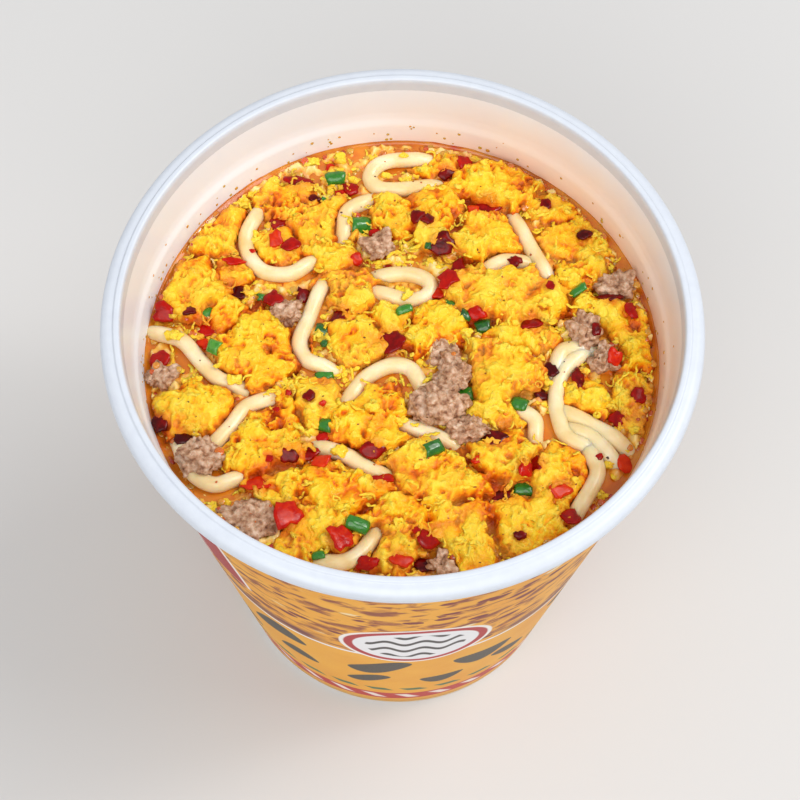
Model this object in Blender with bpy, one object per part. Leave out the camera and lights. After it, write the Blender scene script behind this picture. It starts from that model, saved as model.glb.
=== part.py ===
"""An opened instant noodle cup, filled to just under its rim and standing on its foot.

A thin white cup carries a printed sleeve. Inside lie a mass of noodles, broth round it, curds of
scrambled egg, crumbs of minced pork, and chopped red chili and spring onion.
Origin at the middle of the base, Z up, the printed front towards -Y.
"""

import math
import random

import bmesh
import bpy
from mathutils import Matrix, Vector
from mathutils.bvhtree import BVHTree
from mathutils.geometry import intersect_point_line

MM = 0.001

# Cup, in millimetres: it widens upward, and a flat rim ends in a skirt that hangs outside.
CUP_HEIGHT = 120.0
RIM_RADIUS = 55.0
SKIRT_DROP = 4.5
RIM_STEP = 0.35
MOUTH_RADIUS = 51.0
SHOULDER_TOP = (50.2, 110.5)
SHOULDER_FOOT = (49.3, 107.4)
FLOOR_RADIUS = 34.6
FLOOR_HEIGHT = 4.6
FOOT_RADIUS = 36.0
FOOT_WIDTH = 1.8
FOOT_RECESS = 2.6
OUTER_TOP = (52.0, 116.2)
AROUND = 44

# Sleeve: one printed sheet round the outside of the wall.
SLEEVE_LOW = 2.2
SLEEVE_HIGH = 114.8
SLEEVE_GAP = 0.3
SLEEVE_THICKNESS = 0.38

# Contents: gaps keep each piece its own body.
GAP = 0.3
BROTH_LEVEL = 102.4
CORE_RADIUS = 44.0
CORE_FOOT_RADIUS = 29.0
LOOSE_TOP = BROTH_LEVEL + GAP
WALL_CLEARANCE = 0.5

# Noodle strands that show on top: round, 3.5 mm thick, each given by a few points (x, y).
STRAND_RADIUS = 1.75
STRAND_SIDES = 7
STRAND_STEP = 5.0
STRAND_BEND = math.radians(26)
STRAND_SUNK = 0.85
STRANDS = (
    ((-29.5, 29.5), (-31, 25), (-30, 20.5), (-27, 17.5), (-22, 17), (-18.5, 19.5)),
    ((4.5, 38), (-1, 37), (-5.3, 37.2), (-7.2, 39.4), (-6, 42), (-2.5, 43.6), (2.5, 44)),
    ((-12, 27), (-11.5, 31.5), (-8, 34)),
    ((-4, 17.2), (0.5, 17.6), (4, 16.6), (5.2, 14.7), (4, 12.7), (0.5, 11.8), (-4.5, 13.3)),
    ((-16, 14), (-18, 7.5), (-19.5, 2), (-18, -1.5), (-14.5, -3)),
    ((-45.5, 3), (-41.5, 1.5), (-38, -2.5), (-34.5, -6), (-30.5, -7.5)),
    ((-25, -10), (-29, -12), (-31.5, -16), (-34.5, -20)),
    ((-40.5, -20.5), (-39.3, -23.3), (-37, -26.5), (-33.5, -28), (-30, -26.5)),
    ((-9.5, -9), (-6.5, -5), (-2, -2.5), (1.5, -3), (3.5, -6)),
    ((-13.5, -20), (-9.5, -21.5), (-6.5, -23.5), (-3, -25)),
    ((22, 30), (24, 25.5), (27.5, 18.5)),
    ((16.5, 19.5), (19.5, 21), (23, 21)),
    ((34, 1), (30.5, -3), (29, -9), (30.5, -16), (34.5, -18.5)),
    ((29, -2), (30.5, 1.5), (34, 2)),
    ((31, -11.5), (35, -13.5), (40, -17)),
    ((32, -15), (35.5, -16.5), (38.5, -20)),
    ((23, -11.5), (25, -13.5), (25, -17)),
    ((1.5, -15), (5.5, -16.5), (9, -18)),
    ((35, -19.5), (36.3, -23.5), (35, -27), (33, -30.5)),
    ((-13, -42.5), (-9.5, -42.5), (-6.5, -40.5), (-4.5, -37.5)),
)

# Egg curds: middle x, middle y, half width, half depth, height. They swell to fill the space between.
FILL = 1.42
EGG_CURDS = (
    (-37, 26, 5, 4.5, 4),
    (-23, 33, 4.5, 3, 3),
    (-16, 28, 5, 4.5, 3.5),
    (-2, 31, 3.5, 5, 3.5),
    (6, 31, 5, 5.5, 4),
    (6, 43, 4, 2, 2),
    (18, 38, 8, 4.5, 4),
    (15, 27, 5.5, 4.5, 4),
    (34, 26, 6, 4, 2),
    (21, 13, 9.5, 6, 5),
    (35, 18, 5, 3, 3),
    (38, 10, 4.5, 3.5, 4),
    (44, 3, 3.5, 6, 4),
    (18, -4, 6, 6.5, 5),
    (22, 4, 5, 2.5, 3.2),
    (6, 5, 5, 5, 4),
    (-2, 7, 3.5, 4, 3),
    (-10, 14, 5, 4, 4),
    (-8, 3, 4.5, 4, 3.5),
    (-40, 13, 5.5, 5, 4),
    (-33, 7, 3, 3, 3),
    (-27, 1, 6, 7, 5),
    (-40, -13, 6, 4.5, 4),
    (-23, -13, 4.5, 3.5, 3),
    (-27, -21, 6.5, 5, 4),
    (-5, -14, 6, 5, 4.5),
    (-10, -28, 7.5, 4, 4.5),
    (-22, -29, 3.5, 4.5, 3.5),
    (-16, -37, 6, 5, 3.5),
    (-1, -36, 5.5, 6, 4.5),
    (8, -25, 8, 5, 5),
    (18, -21, 6.5, 4.5, 5),
    (12, -37, 5.5, 6, 4),
    (23, -35, 6, 4.5, 3.5),
    (30, -25, 5, 4.5, 3.5),
    (34, -9, 4, 3.5, 3),
    (44, -8, 3, 5, 3),
    (18, -12, 5.5, 2.5, 2.8),
    (-16, -11, 4.5, 4, 3.2),
    (-14, 21, 4, 3, 3),
    (-24.5, 23, 3, 3.2, 2.6),
    (-33.5, 16.5, 3, 2.6, 2.6),
    (29, 33.5, 3.6, 2.6, 2.2),
)

# Crumbs of minced pork, in the same order of values.
PORK_CRUMBS = (
    (-5, 23.5, 2.5, 2.5, 3.5),
    (8, -0.5, 2.6, 2.4, 3.6),
    (9.5, -5, 3, 2.8, 4.5),
    (7, -11, 4.5, 3.5, 6),
    (13, -16, 3.5, 2, 4),
    (41, 15.5, 3.5, 2.5, 3.5),
    (34.5, 5.5, 2.5, 3, 4),
    (38, -0.5, 2.5, 2.5, 4),
    (-36.5, -23, 3.5, 3, 5),
    (-27, -35, 5, 3.5, 3.5),
    (-45, -6.5, 2.5, 2, 3),
    (-22, 8.5, 2.5, 2.5, 3),
    (8, -42.5, 2, 2, 2.5),
)

# Chopped red chili: x, y, length, width.
CHILI_BITS = (
    (-45.5, 7, 3.2, 3.2), (-45.5, -3, 3.2, 3.2), (-37, 4.3, 3.8, 2.4), (-37.5, 1.5, 2.2, 2),
    (-40.5, 6.8, 2, 1.8), (-32, 12.5, 2.8, 2.4), (-33, 18.8, 3, 1.4), (-25, 28, 2.8, 2.4),
    (-25, 23.5, 2, 3), (-22, 22.3, 3, 2.4), (-24.8, 10.4, 3, 2.6), (-19.5, 12.3, 1.8, 3),
    (-12, 7.6, 3, 2.8), (-5.8, 26.5, 1.8, 1.8), (-9.3, 20.3, 1.8, 2.2), (-21, 37.6, 4.4, 2.8),
    (-15, 41.8, 1.8, 1.6), (-11, 36.8, 2.6, 2.4), (-13, 35, 2.2, 2), (-18, 33.6, 1.8, 1.4),
    (-2, 1.8, 4.4, 3.6), (2.3, 28.8, 2.4, 2.2), (4.3, 28, 2, 2.2), (7.3, 23.3, 3.8, 3.6),
    (10.5, 18, 2.6, 4), (8.5, 15, 3.6, 3), (6.5, 13.3, 2.6, 2.2), (11.5, 43.5, 2.8, 2.6),
    (8, 40.8, 2.6, 2), (16, 32.6, 4, 2.6), (13.3, 31.4, 2, 1.6), (27.6, 33.3, 1.8, 1.8),
    (35, 26.5, 2.4, 1.8), (21.5, 20.3, 2.4, 1.5), (24.5, 6, 3.2, 2.6), (28, 13.6, 1.4, 1.6),
    (39.5, 12.3, 3.6, 2.2), (43.3, 9.5, 2.2, 3), (36.5, 4.7, 1.6, 2.2), (39.7, -1.5, 2.6, 2.4),
    (28, -3.2, 2.4, 2.2), (33, -4.8, 2.2, 3.4), (26.2, -8, 2.6, 1.8), (44.2, -8.4, 2.4, 2.4),
    (40.2, -13, 2.6, 2.2), (14, 7.8, 3, 1.9), (-5, -20.8, 3.4, 2.8), (-17, -21, 3, 2.8),
    (-20.3, -22.5, 3, 2.2), (-14.2, -23.8, 2.6, 2.4), (-17, -10.8, 1.8, 1.8), (-14.3, -18, 2, 1.8),
    (-44.3, -16.3, 2.4, 2.8), (-40, -19.3, 3.2, 2.2), (-26, -28, 4.6, 2.4), (-20, -34.5, 4.4, 4),
    (-10.2, -38.7, 4, 3.4), (-3, -26.8, 3.8, 1.6), (-5.3, -43, 3.6, 2), (5.2, -38.7, 3.2, 3),
    (5, -42.6, 3.2, 2.2), (0.7, -42.8, 3.4, 1.8), (18.8, -28.8, 3, 2.2), (25, -23, 2.6, 2.4),
    (22.8, -24.8, 2.6, 2.2), (17.5, -17.8, 3.6, 2.4), (29.2, -28.3, 3.4, 2.2), (31, -33.5, 3, 3),
    (41.3, -21.8, 2.8, 3), (21.8, -37.5, 1.8, 1.4),
)

# Chopped spring onion, in the same order of values.
ONION_BITS = (
    (-14, 38.7, 2.4, 3.8), (-8.6, 28.5, 4, 3.2), (-37.5, 7.6, 3, 2.6), (-35.2, -0.7, 2.6, 2.6),
    (-14.5, -5, 2.6, 3.2), (-13.7, -15.8, 2.6, 2.4), (-7.3, -36, 4, 2.6), (-14, -41.8, 2.2, 1.5),
    (6, -21, 3.8, 2.6), (22.2, -10.3, 2.6, 3), (12.2, -8, 2.6, 3.2), (0.3, 8.5, 1.7, 3),
    (8.8, 11, 3.4, 2.2), (11.7, 7.5, 2.2, 2.2), (15.3, 6, 3, 2.6), (22.8, -27, 3.8, 2.6),
    (-15.3, 5, 2.8, 2.6), (33.7, 13.6, 3.4, 1.8), (-27, 11.5, 2.6, 1.5),
)
BIT_THICKNESS = 1.3
BIT_SIDES = 5


def clear_scene():
    for thing in list(bpy.data.objects):
        bpy.data.objects.remove(thing, do_unlink=True)


def linear(value):
    """One channel of a screen colour as light."""
    if value <= 0.04045:
        return value / 12.92
    return ((value + 0.055) / 1.055) ** 2.4


def painted(thing, colour, roughness):
    """Gives an object its own plain material, from a hex colour."""
    paint = bpy.data.materials.new(thing.name)
    paint.use_nodes = True
    channels = [linear(int(colour[place:place + 2], 16) / 255) for place in (0, 2, 4)]
    shader = paint.node_tree.nodes["Principled BSDF"]
    shader.inputs["Base Color"].default_value = (*channels, 1)
    shader.inputs["Roughness"].default_value = roughness
    thing.data.materials.clear()
    thing.data.materials.append(paint)


def made_object(name, vertices, faces):
    """A mesh object from points in millimetres, with its faces turned outward."""
    shape = bmesh.new()
    corners = [shape.verts.new(Vector(point) * MM) for point in vertices]
    for face in faces:
        shape.faces.new([corners[index] for index in face])
    bmesh.ops.recalc_face_normals(shape, faces=shape.faces)
    bmesh.ops.triangulate(shape, faces=shape.faces)
    mesh = bpy.data.meshes.new(name)
    shape.to_mesh(mesh)
    shape.free()
    thing = bpy.data.objects.new(name, mesh)
    bpy.context.scene.collection.objects.link(thing)
    return thing


def turned_shape(profile):
    """Points and faces of a profile (radius, height) turned round Z. Ends on the axis close to a point."""
    points = []
    rings = []
    for radius, height in profile:
        if radius == 0:
            rings.append([len(points)])
            points.append((0, 0, height))
            continue
        rings.append(list(range(len(points), len(points) + AROUND)))
        for step in range(AROUND):
            angle = 2 * math.pi * step / AROUND
            points.append((radius * math.cos(angle), radius * math.sin(angle), height))
    pairs = list(zip(rings, rings[1:]))
    if profile[0][0] > 0:
        pairs.append((rings[-1], rings[0]))
    faces = []
    for low, high in pairs:
        for step in range(AROUND):
            after = (step + 1) % AROUND
            if len(low) == 1:
                faces.append((low[0], high[after], high[step]))
            elif len(high) == 1:
                faces.append((low[step], low[after], high[0]))
            else:
                faces.append((low[step], low[after], high[after], high[step]))
    return points, faces


def wall_radius(height):
    """Inner radius of the cup below its shoulder."""
    share = (height - FLOOR_HEIGHT) / (SHOULDER_FOOT[1] - FLOOR_HEIGHT)
    return FLOOR_RADIUS + share * (SHOULDER_FOOT[0] - FLOOR_RADIUS)


def outer_radius(height):
    """Outer radius of the cup's wall."""
    share = height / OUTER_TOP[1]
    return FOOT_RADIUS + share * (OUTER_TOP[0] - FOOT_RADIUS)


def cup():
    rim_low = CUP_HEIGHT - SKIRT_DROP
    profile = (
        (0, FOOT_RECESS),
        (FOOT_RADIUS - FOOT_WIDTH - 0.6, FOOT_RECESS),
        (FOOT_RADIUS - FOOT_WIDTH, 0),
        (FOOT_RADIUS - 0.2, 0),
        (outer_radius(1.2), 1.2),
        OUTER_TOP,
        (RIM_RADIUS - 1.6, rim_low + 1.4),
        (RIM_RADIUS - 1.4, rim_low),
        (RIM_RADIUS - 0.5, rim_low),
        (RIM_RADIUS, rim_low + 2),
        (RIM_RADIUS - 0.35, rim_low + 3.4),
        (RIM_RADIUS - 1.4, CUP_HEIGHT - RIM_STEP - 0.1),
        (RIM_RADIUS - 2.5, CUP_HEIGHT - RIM_STEP),
        (RIM_RADIUS - 2.75, CUP_HEIGHT),
        (MOUTH_RADIUS + 0.3, CUP_HEIGHT),
        (MOUTH_RADIUS, CUP_HEIGHT - 0.8),
        SHOULDER_TOP,
        (49.9, 108.9),
        SHOULDER_FOOT,
        (FLOOR_RADIUS, FLOOR_HEIGHT + 1.2),
        (FLOOR_RADIUS - 1.4, FLOOR_HEIGHT),
        (0, FLOOR_HEIGHT),
    )
    thing = made_object("cup", *turned_shape(profile))
    painted(thing, "ECEFF4", 0.35)


def label():
    inner = [(outer_radius(height) + SLEEVE_GAP, height) for height in (SLEEVE_LOW, SLEEVE_HIGH)]
    outer = [(radius + SLEEVE_THICKNESS, height) for radius, height in reversed(inner)]
    thing = made_object("label", *turned_shape(inner + outer))
    painted(thing, "E3B14F", 0.4)


def core_radius(height):
    share = (height - FLOOR_HEIGHT) / (BROTH_LEVEL - FLOOR_HEIGHT)
    return CORE_FOOT_RADIUS + share * (CORE_RADIUS - CORE_FOOT_RADIUS)


def smooth_route(points, step, bend):
    """Points along a smooth curve through the given (x, y), closer together where it bends."""
    ends = [Vector(point) for point in points]
    ends = [2 * ends[0] - ends[1], *ends, 2 * ends[-1] - ends[-2]]
    route = [ends[1]]
    for before, start, end, after in zip(ends, ends[1:], ends[2:], ends[3:]):
        turn = (end - before).angle(after - start)
        pieces = max(math.ceil((end - start).length / step), math.ceil(turn / bend))
        for piece in range(1, pieces + 1):
            share = piece / pieces
            point = 2 * start
            point += (end - before) * share
            point += (2 * before - 5 * start + 4 * end - after) * share ** 2
            point += (3 * start - before - 3 * end + after) * share ** 3
            route.append(point / 2)
    return route


def strand_height(point):
    """Middle of a strand: sunk in the core, and lifted clear of the broth outside it."""
    low = BROTH_LEVEL + STRAND_SUNK
    high = BROTH_LEVEL + GAP + STRAND_RADIUS + 0.15
    share = (point.length - (CORE_RADIUS - 3.4)) / 1.5
    share = min(max(share, 0), 1)
    return low + (high - low) * share


def strand(route):
    """A round strand along a route, closed at both ends."""
    points = []
    faces = []
    count = len(route)
    for index, place in enumerate(route):
        ahead = route[min(index + 1, count - 1)] - route[max(index - 1, 0)]
        side = Vector((ahead.y, -ahead.x)).normalized()
        middle = strand_height(place)
        for step in range(STRAND_SIDES):
            angle = 2 * math.pi * (step + 0.5) / STRAND_SIDES
            flat = place + side * STRAND_RADIUS * math.cos(angle)
            points.append((flat.x, flat.y, middle + STRAND_RADIUS * math.sin(angle)))
    for index in range(count - 1):
        first = index * STRAND_SIDES
        for step in range(STRAND_SIDES):
            after = (step + 1) % STRAND_SIDES
            near = (first + step, first + after)
            far = (first + STRAND_SIDES + after, first + STRAND_SIDES + step)
            faces.append(near + far)
    faces.append(tuple(range(STRAND_SIDES)))
    faces.append(tuple(range((count - 1) * STRAND_SIDES, count * STRAND_SIDES)))
    return made_object("strand", points, faces)


class Lump:
    """A curd or a crumb: its place, half sizes and height."""

    def __init__(self, name, values, seed):
        self.name = name
        self.middle = Vector(values[:2])
        self.half = Vector(values[2:4])
        self.height = values[4]
        self.draw = random.Random(seed)
        self.waves = [(count, self.draw.uniform(0, 6.28)) for count in (2, 3, 5, 8)]
        self.outline = []

    def outside(self, point):
        """About how many millimetres a point lies outside the lump's ellipse; negative inside."""
        offset = point - self.middle
        scaled = Vector((offset.x / self.half.x, offset.y / self.half.y))
        return (scaled.length - 1) * min(self.half)

    def reach(self, angle):
        """Free radius of the lump's uneven outline in one direction."""
        ellipse = 1 / math.hypot(math.cos(angle) / self.half.x, math.sin(angle) / self.half.y)
        uneven = sum(0.055 * math.cos(count * angle + phase) for count, phase in self.waves)
        return ellipse * (FILL + uneven)


def is_clear(point, owner, lumps, blockers):
    """Whether a point of one lump is clear of the wall, the other lumps and what lies between them."""
    if point.length > wall_radius(LOOSE_TOP) - WALL_CLEARANCE:
        return False
    own = owner.outside(point)
    if any(own + 1.6 * GAP > other.outside(point) for other in lumps if other is not owner):
        return False
    return all((point - middle).length > radius for middle, radius in blockers)


def touches(point, outline):
    """Whether a point lies in an outline or within a gap of it."""
    inside = False
    for start, end in zip(outline, outline[1:] + outline[:1]):
        nearest, share = intersect_point_line(point, start, end)
        nearest = start.lerp(end, min(max(share, 0), 1))
        if (point - nearest.to_2d()).length < 1.1 * GAP:
            return True
        if (start.y > point.y) != (end.y > point.y):
            across = start.x + (point.y - start.y) / (end.y - start.y) * (end.x - start.x)
            inside = inside != (point.x < across)
    return inside


def fits(points, owner, lumps, blockers):
    """Whether all points of a bit are clear of every lump but its owner, of the wall and of strands."""
    for point in points:
        if point.length > wall_radius(LOOSE_TOP) - WALL_CLEARANCE:
            return False
        if any(touches(point, lump.outline) for lump in lumps if lump is not owner):
            return False
        if any((point - middle).length < radius for middle, radius in blockers):
            return False
    return True


def grow_outline(lump, lumps, blockers):
    """Grows a lump outward in every direction until it nears something."""
    sides = 12 if max(lump.half) < 4 else 14 if max(lump.half) < 6 else 18
    angles = [2 * math.pi * side / sides for side in range(sides)]
    ways = [Vector((math.cos(angle), math.sin(angle))) for angle in angles]
    radii = []
    for angle, way in zip(angles, ways):
        radius = lump.reach(angle)
        while radius > 0.6 and not is_clear(lump.middle + way * radius, lump, lumps, blockers):
            radius -= 0.15
        radii.append(radius)
    for _ in range(12):
        for side in range(sides):
            after = (side + 1) % sides
            start = lump.middle + ways[side] * radii[side]
            end = lump.middle + ways[after] * radii[after]
            edge = [start.lerp(end, share / 6) for share in range(1, 6)]
            if all(is_clear(point, lump, lumps, blockers) for point in edge):
                continue
            longer = side if radii[side] > radii[after] else after
            radii[longer] *= 0.9
    lump.outline = [lump.middle + way * radius for way, radius in zip(ways, radii)]


def lump_object(lump, rough):
    """The solid of a lump: flat below, bulging at its side and uneven on top."""
    sides = len(lump.outline)
    rings = ((0.88, 0), (1, 0.4), (0.84, 0.78), (0.46, 0.95))
    points = []
    for share, rise in rings:
        for corner in lump.outline:
            flat = lump.middle.lerp(corner, share)
            lift = rise * lump.height
            if rise > 0.5:
                flat = lump.middle.lerp(corner, share * (1 + lump.draw.uniform(-0.1, 0.1)))
                lift *= 1 + lump.draw.uniform(-rough, rough)
            points.append((flat.x, flat.y, LOOSE_TOP + lift))
    low = len(points)
    points.append((lump.middle.x, lump.middle.y, LOOSE_TOP))
    crest = lump.middle.lerp(lump.draw.choice(lump.outline), 0.14)
    points.append((crest.x, crest.y, LOOSE_TOP + lump.height * 0.98))
    faces = []
    for side in range(sides):
        after = (side + 1) % sides
        faces.append((after, side, low))
        for ring in range(len(rings) - 1):
            first = ring * sides
            near = (first + side, first + after)
            faces.append(near + (first + sides + after, first + sides + side))
        last = (len(rings) - 1) * sides
        faces.append((last + side, last + after, low + 1))
    return made_object(lump.name, points, faces)


def chip(middle, normal, length, width, draw):
    """A small chopped bit lying on a slope."""
    turn = Vector((0, 0, 1)).rotation_difference(normal).to_matrix().to_4x4()
    start = draw.uniform(0, 6.28)
    points = []
    for height, share in ((-0.5, 0.9), (0.5, 0.82)):
        for side in range(BIT_SIDES):
            angle = start + 2 * math.pi * (side + draw.uniform(-0.18, 0.18)) / BIT_SIDES
            flat = (length / 2 * share * math.cos(angle), width / 2 * share * math.sin(angle))
            points.append(Vector((*flat, height * BIT_THICKNESS)))
    place = Matrix.Translation(Vector(middle)) @ turn
    points = [place @ point for point in points]
    faces = [tuple(range(BIT_SIDES)), tuple(range(BIT_SIDES, 2 * BIT_SIDES))]
    for side in range(BIT_SIDES):
        after = (side + 1) % BIT_SIDES
        faces.append((side, after, BIT_SIDES + after, BIT_SIDES + side))
    return points, faces


def fuse(base, pieces, solver="EXACT"):
    """One Boolean union of a base with all its pieces, applied, with the pieces then removed."""
    if not pieces:
        return
    group = bpy.data.collections.new("pieces")
    bpy.context.scene.collection.children.link(group)
    for piece in pieces:
        bpy.context.scene.collection.objects.unlink(piece)
        group.objects.link(piece)
    union = base.modifiers.new("union", "BOOLEAN")
    union.operation = "UNION"
    union.operand_type = "COLLECTION"
    union.collection = group
    union.solver = solver
    graph = bpy.context.evaluated_depsgraph_get()
    joined = bpy.data.meshes.new_from_object(base.evaluated_get(graph))
    base.modifiers.clear()
    base.data = joined
    for piece in pieces:
        bpy.data.objects.remove(piece, do_unlink=True)
    bpy.data.collections.remove(group)


def surface_of(thing):
    shape = bmesh.new()
    shape.from_mesh(thing.data)
    tree = BVHTree.FromBMesh(shape)
    shape.free()
    return tree


def bit_at(middle, normal, size, owner, lumps, blockers, draw):
    """A bit on what carries it, made smaller until it stays clear of everything else."""
    length, width = size
    for _ in range(5):
        points, faces = chip(middle, normal, length, width, draw)
        lowest = min(point.z for point in points)
        flat = [point.to_2d() for point in points]
        if (lowest > LOOSE_TOP or not owner) and fits(flat, owner, lumps, blockers):
            return made_object("bit", points, faces)
        length *= 0.84
        width *= 0.84
    return None


def settled(spot, size):
    """Where a bit between the lumps lies: wholly over the core, or wholly over the broth."""
    half = max(size) / 2
    if spot.length < CORE_RADIUS:
        reach = min(spot.length, CORE_RADIUS - GAP - half)
        return spot.normalized() * reach, size, "noodles"
    outer = wall_radius(BROTH_LEVEL) - WALL_CLEARANCE
    inner = CORE_RADIUS + 2 * GAP
    half = min(half, (outer - inner) / 2)
    reach = min(max(spot.length, inner + half), outer - half)
    return spot.normalized() * reach, (2 * half, 1.6 * half), "broth"


def main():
    clear_scene()
    cup()
    label()

    routes = [smooth_route(points, STRAND_STEP, STRAND_BEND) for points in STRANDS]
    fine = [point for points in STRANDS for point in smooth_route(points, 1.0, math.pi)]
    strand_room = [(point, STRAND_RADIUS + 1.3 * GAP) for point in fine]

    eggs = [Lump(f"egg_{n:02d}", values, n) for n, values in enumerate(EGG_CURDS, 1)]
    porks = [Lump(f"pork_{n:02d}", values, 100 + n) for n, values in enumerate(PORK_CRUMBS, 1)]
    lumps = eggs + porks
    bits = [(Vector(values[:2]), values[2:]) for values in CHILI_BITS + ONION_BITS]
    between = [spot for spot, _ in bits if min(lump.outside(spot) for lump in lumps) > 0.7]
    between_room = [(spot, 1.0) for spot in between]

    for lump in lumps:
        grow_outline(lump, lumps, strand_room + between_room)
    solids = {}
    for lump in lumps:
        solids[lump.name] = lump_object(lump, 0.12 if lump in eggs else 0.2)
    trees = {lump.name: surface_of(solids[lump.name]) for lump in lumps}

    draw = random.Random(7)
    fused = {name: [] for name in (*solids, "noodles", "broth")}
    for spot, size in bits:
        above = Vector((spot.x, spot.y, CUP_HEIGHT)) * MM
        for lump in lumps:
            hit, normal, _, _ = trees[lump.name].ray_cast(above, Vector((0, 0, -1)))
            if hit is None:
                continue
            normal = normal.lerp(Vector((0, 0, 1)), 0.3).normalized()
            middle = hit / MM + normal * 0.15
            fused[lump.name].append(bit_at(middle, normal, size, lump, lumps, strand_room, draw))
            break
        else:
            spot, size, host = settled(spot, size)
            tilt = Vector((draw.uniform(-0.2, 0.2), draw.uniform(-0.2, 0.2), 1)).normalized()
            middle = Vector((spot.x, spot.y, BROTH_LEVEL + 0.15))
            room = strand_room if host == "broth" else []
            fused[host].append(bit_at(middle, tilt, size, None, lumps, room, draw))

    core_profile = [
        (0, FLOOR_HEIGHT + GAP),
        (CORE_FOOT_RADIUS, FLOOR_HEIGHT + GAP),
        (CORE_RADIUS, BROTH_LEVEL),
        (0, BROTH_LEVEL),
    ]
    noodles = made_object("noodles", *turned_shape(core_profile))
    inner = [(core_radius(height) + GAP, height) for height in (FLOOR_HEIGHT + GAP, BROTH_LEVEL)]
    edge = WALL_CLEARANCE - 0.2
    outer = [
        (wall_radius(BROTH_LEVEL) - edge, BROTH_LEVEL),
        (FLOOR_RADIUS - edge, FLOOR_HEIGHT + 1.5),
        (FLOOR_RADIUS - edge - 1.6, FLOOR_HEIGHT + GAP),
    ]
    broth = made_object("broth", *turned_shape(inner + outer))

    solids["noodles"] = noodles
    solids["broth"] = broth
    fused["noodles"] += [strand(route) for route in routes]
    for name, solid in solids.items():
        fuse(solid, [piece for piece in fused[name] if piece])
    for lump in lumps:
        painted(solids[lump.name], "FFD23C" if lump in eggs else "B98C72", 0.4)
    painted(noodles, "F0D9A8", 0.4)
    painted(broth, "D9822B", 0.15)


main()
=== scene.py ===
"""An opened cup of instant noodles with scrambled egg, minced pork, chili and spring onion.

Sizes are in millimetres, and are turned into metres where a mesh, a light or the camera is made.
Origin at the middle of the base, Z up, the printed front of the sleeve towards -Y.
"""

import math
import random

import bmesh
import bpy
import numpy as np
from mathutils import Matrix, Quaternion, Vector, noise
from mathutils.bvhtree import BVHTree


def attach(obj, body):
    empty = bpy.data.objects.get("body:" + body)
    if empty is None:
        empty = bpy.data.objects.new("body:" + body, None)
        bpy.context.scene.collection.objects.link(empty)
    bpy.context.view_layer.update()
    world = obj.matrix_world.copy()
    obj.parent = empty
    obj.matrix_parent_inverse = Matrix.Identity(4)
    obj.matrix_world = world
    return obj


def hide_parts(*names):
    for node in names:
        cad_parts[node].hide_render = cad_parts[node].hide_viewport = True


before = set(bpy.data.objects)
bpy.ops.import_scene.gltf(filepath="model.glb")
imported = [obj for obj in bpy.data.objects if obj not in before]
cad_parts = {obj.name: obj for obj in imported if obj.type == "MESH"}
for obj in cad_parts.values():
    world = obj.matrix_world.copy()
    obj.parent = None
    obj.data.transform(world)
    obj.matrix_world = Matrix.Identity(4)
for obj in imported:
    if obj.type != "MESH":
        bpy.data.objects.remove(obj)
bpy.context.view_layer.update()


# The cup is one thin moulding of white foamed polystyrene that widens towards its mouth.
# Its flat rim ends in a skirt that hangs outside, and a small step inside marks the fill line.
MM = 0.001
CUP_HEIGHT = 120.0
RIM_RADIUS = 55.0
MOUTH_RADIUS = 51.0
FLOOR_RADIUS = 34.6
FLOOR_HEIGHT = 4.6
SHOULDER_HEIGHT = 107.4
SHOULDER_RADIUS = 49.3
STEP_HEIGHT = 110.5
STEP_RADIUS = 50.2
FOOT_RADIUS = 36
WALL_TOP_RADIUS = 52.0
WALL_TOP_HEIGHT = 116.2
CUP_SIDES = 224
STAIN_LOW = 0.1028
STAIN_HIGH = 0.1185
# The inside's white is painted brighter and bluer than the outside's: painted light on the inner wall.
INNER_PAINTED_LIGHT_WHITE = "F1F7FF"
# The soup stain's colour also paints the orange reflection and shade on the right of the inner wall.
SOUP_STAIN_AND_REFLECTION = "FFBE68"


def wall_radius(height):
    """Inner radius of the cup below its shoulder."""
    share = (height - FLOOR_HEIGHT) / (SHOULDER_HEIGHT - FLOOR_HEIGHT)
    return FLOOR_RADIUS + share * (SHOULDER_RADIUS - FLOOR_RADIUS)


def outer_radius(height):
    """Outer radius of the cup's wall."""
    return FOOT_RADIUS + height / WALL_TOP_HEIGHT * (WALL_TOP_RADIUS - FOOT_RADIUS)


def rounded(corners, radius, steps=4):
    """A profile whose corners are each turned into a short arc, no longer than its edges allow."""
    line = [corners[0]]
    for before, corner, after in zip(corners, corners[1:], corners[2:]):
        before, corner, after = Vector(before), Vector(corner), Vector(after)
        reach = min(radius, (before - corner).length * 0.45, (after - corner).length * 0.45)
        start = corner + (before - corner).normalized() * reach
        end = corner + (after - corner).normalized() * reach
        for step in range(steps + 1):
            share = step / steps
            point = start.lerp(corner, share).lerp(corner.lerp(end, share), share)
            line.append(tuple(point))
    line.append(corners[-1])
    return line


def made_mesh(name, points, faces):
    """A smooth-shaded object from points in millimetres."""
    mesh = bpy.data.meshes.new(name)
    mesh.from_pydata((np.asarray(points, float) * MM).tolist(), [], faces)
    mesh.shade_smooth()
    mesh.update()
    thing = bpy.data.objects.new(name, mesh)
    bpy.context.scene.collection.objects.link(thing)
    return thing


def turned(name, profile, sides):
    """A profile (radius, height) turned round Z, with both its ends on the axis or left open."""
    points = []
    rings = []
    for radius, height in profile:
        count = 1 if radius == 0 else sides
        rings.append(range(len(points), len(points) + count))
        for side in range(count):
            angle = 2 * math.pi * side / sides
            points.append((radius * math.cos(angle), radius * math.sin(angle), height))
    faces = []
    for low, high in zip(rings, rings[1:]):
        for side in range(sides):
            after = (side + 1) % sides
            corners = (low[side % len(low)], low[after % len(low)])
            corners += (high[after % len(high)], high[side % len(high)])
            faces.append(tuple(dict.fromkeys(corners)))
    return made_mesh(name, points, faces)


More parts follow.
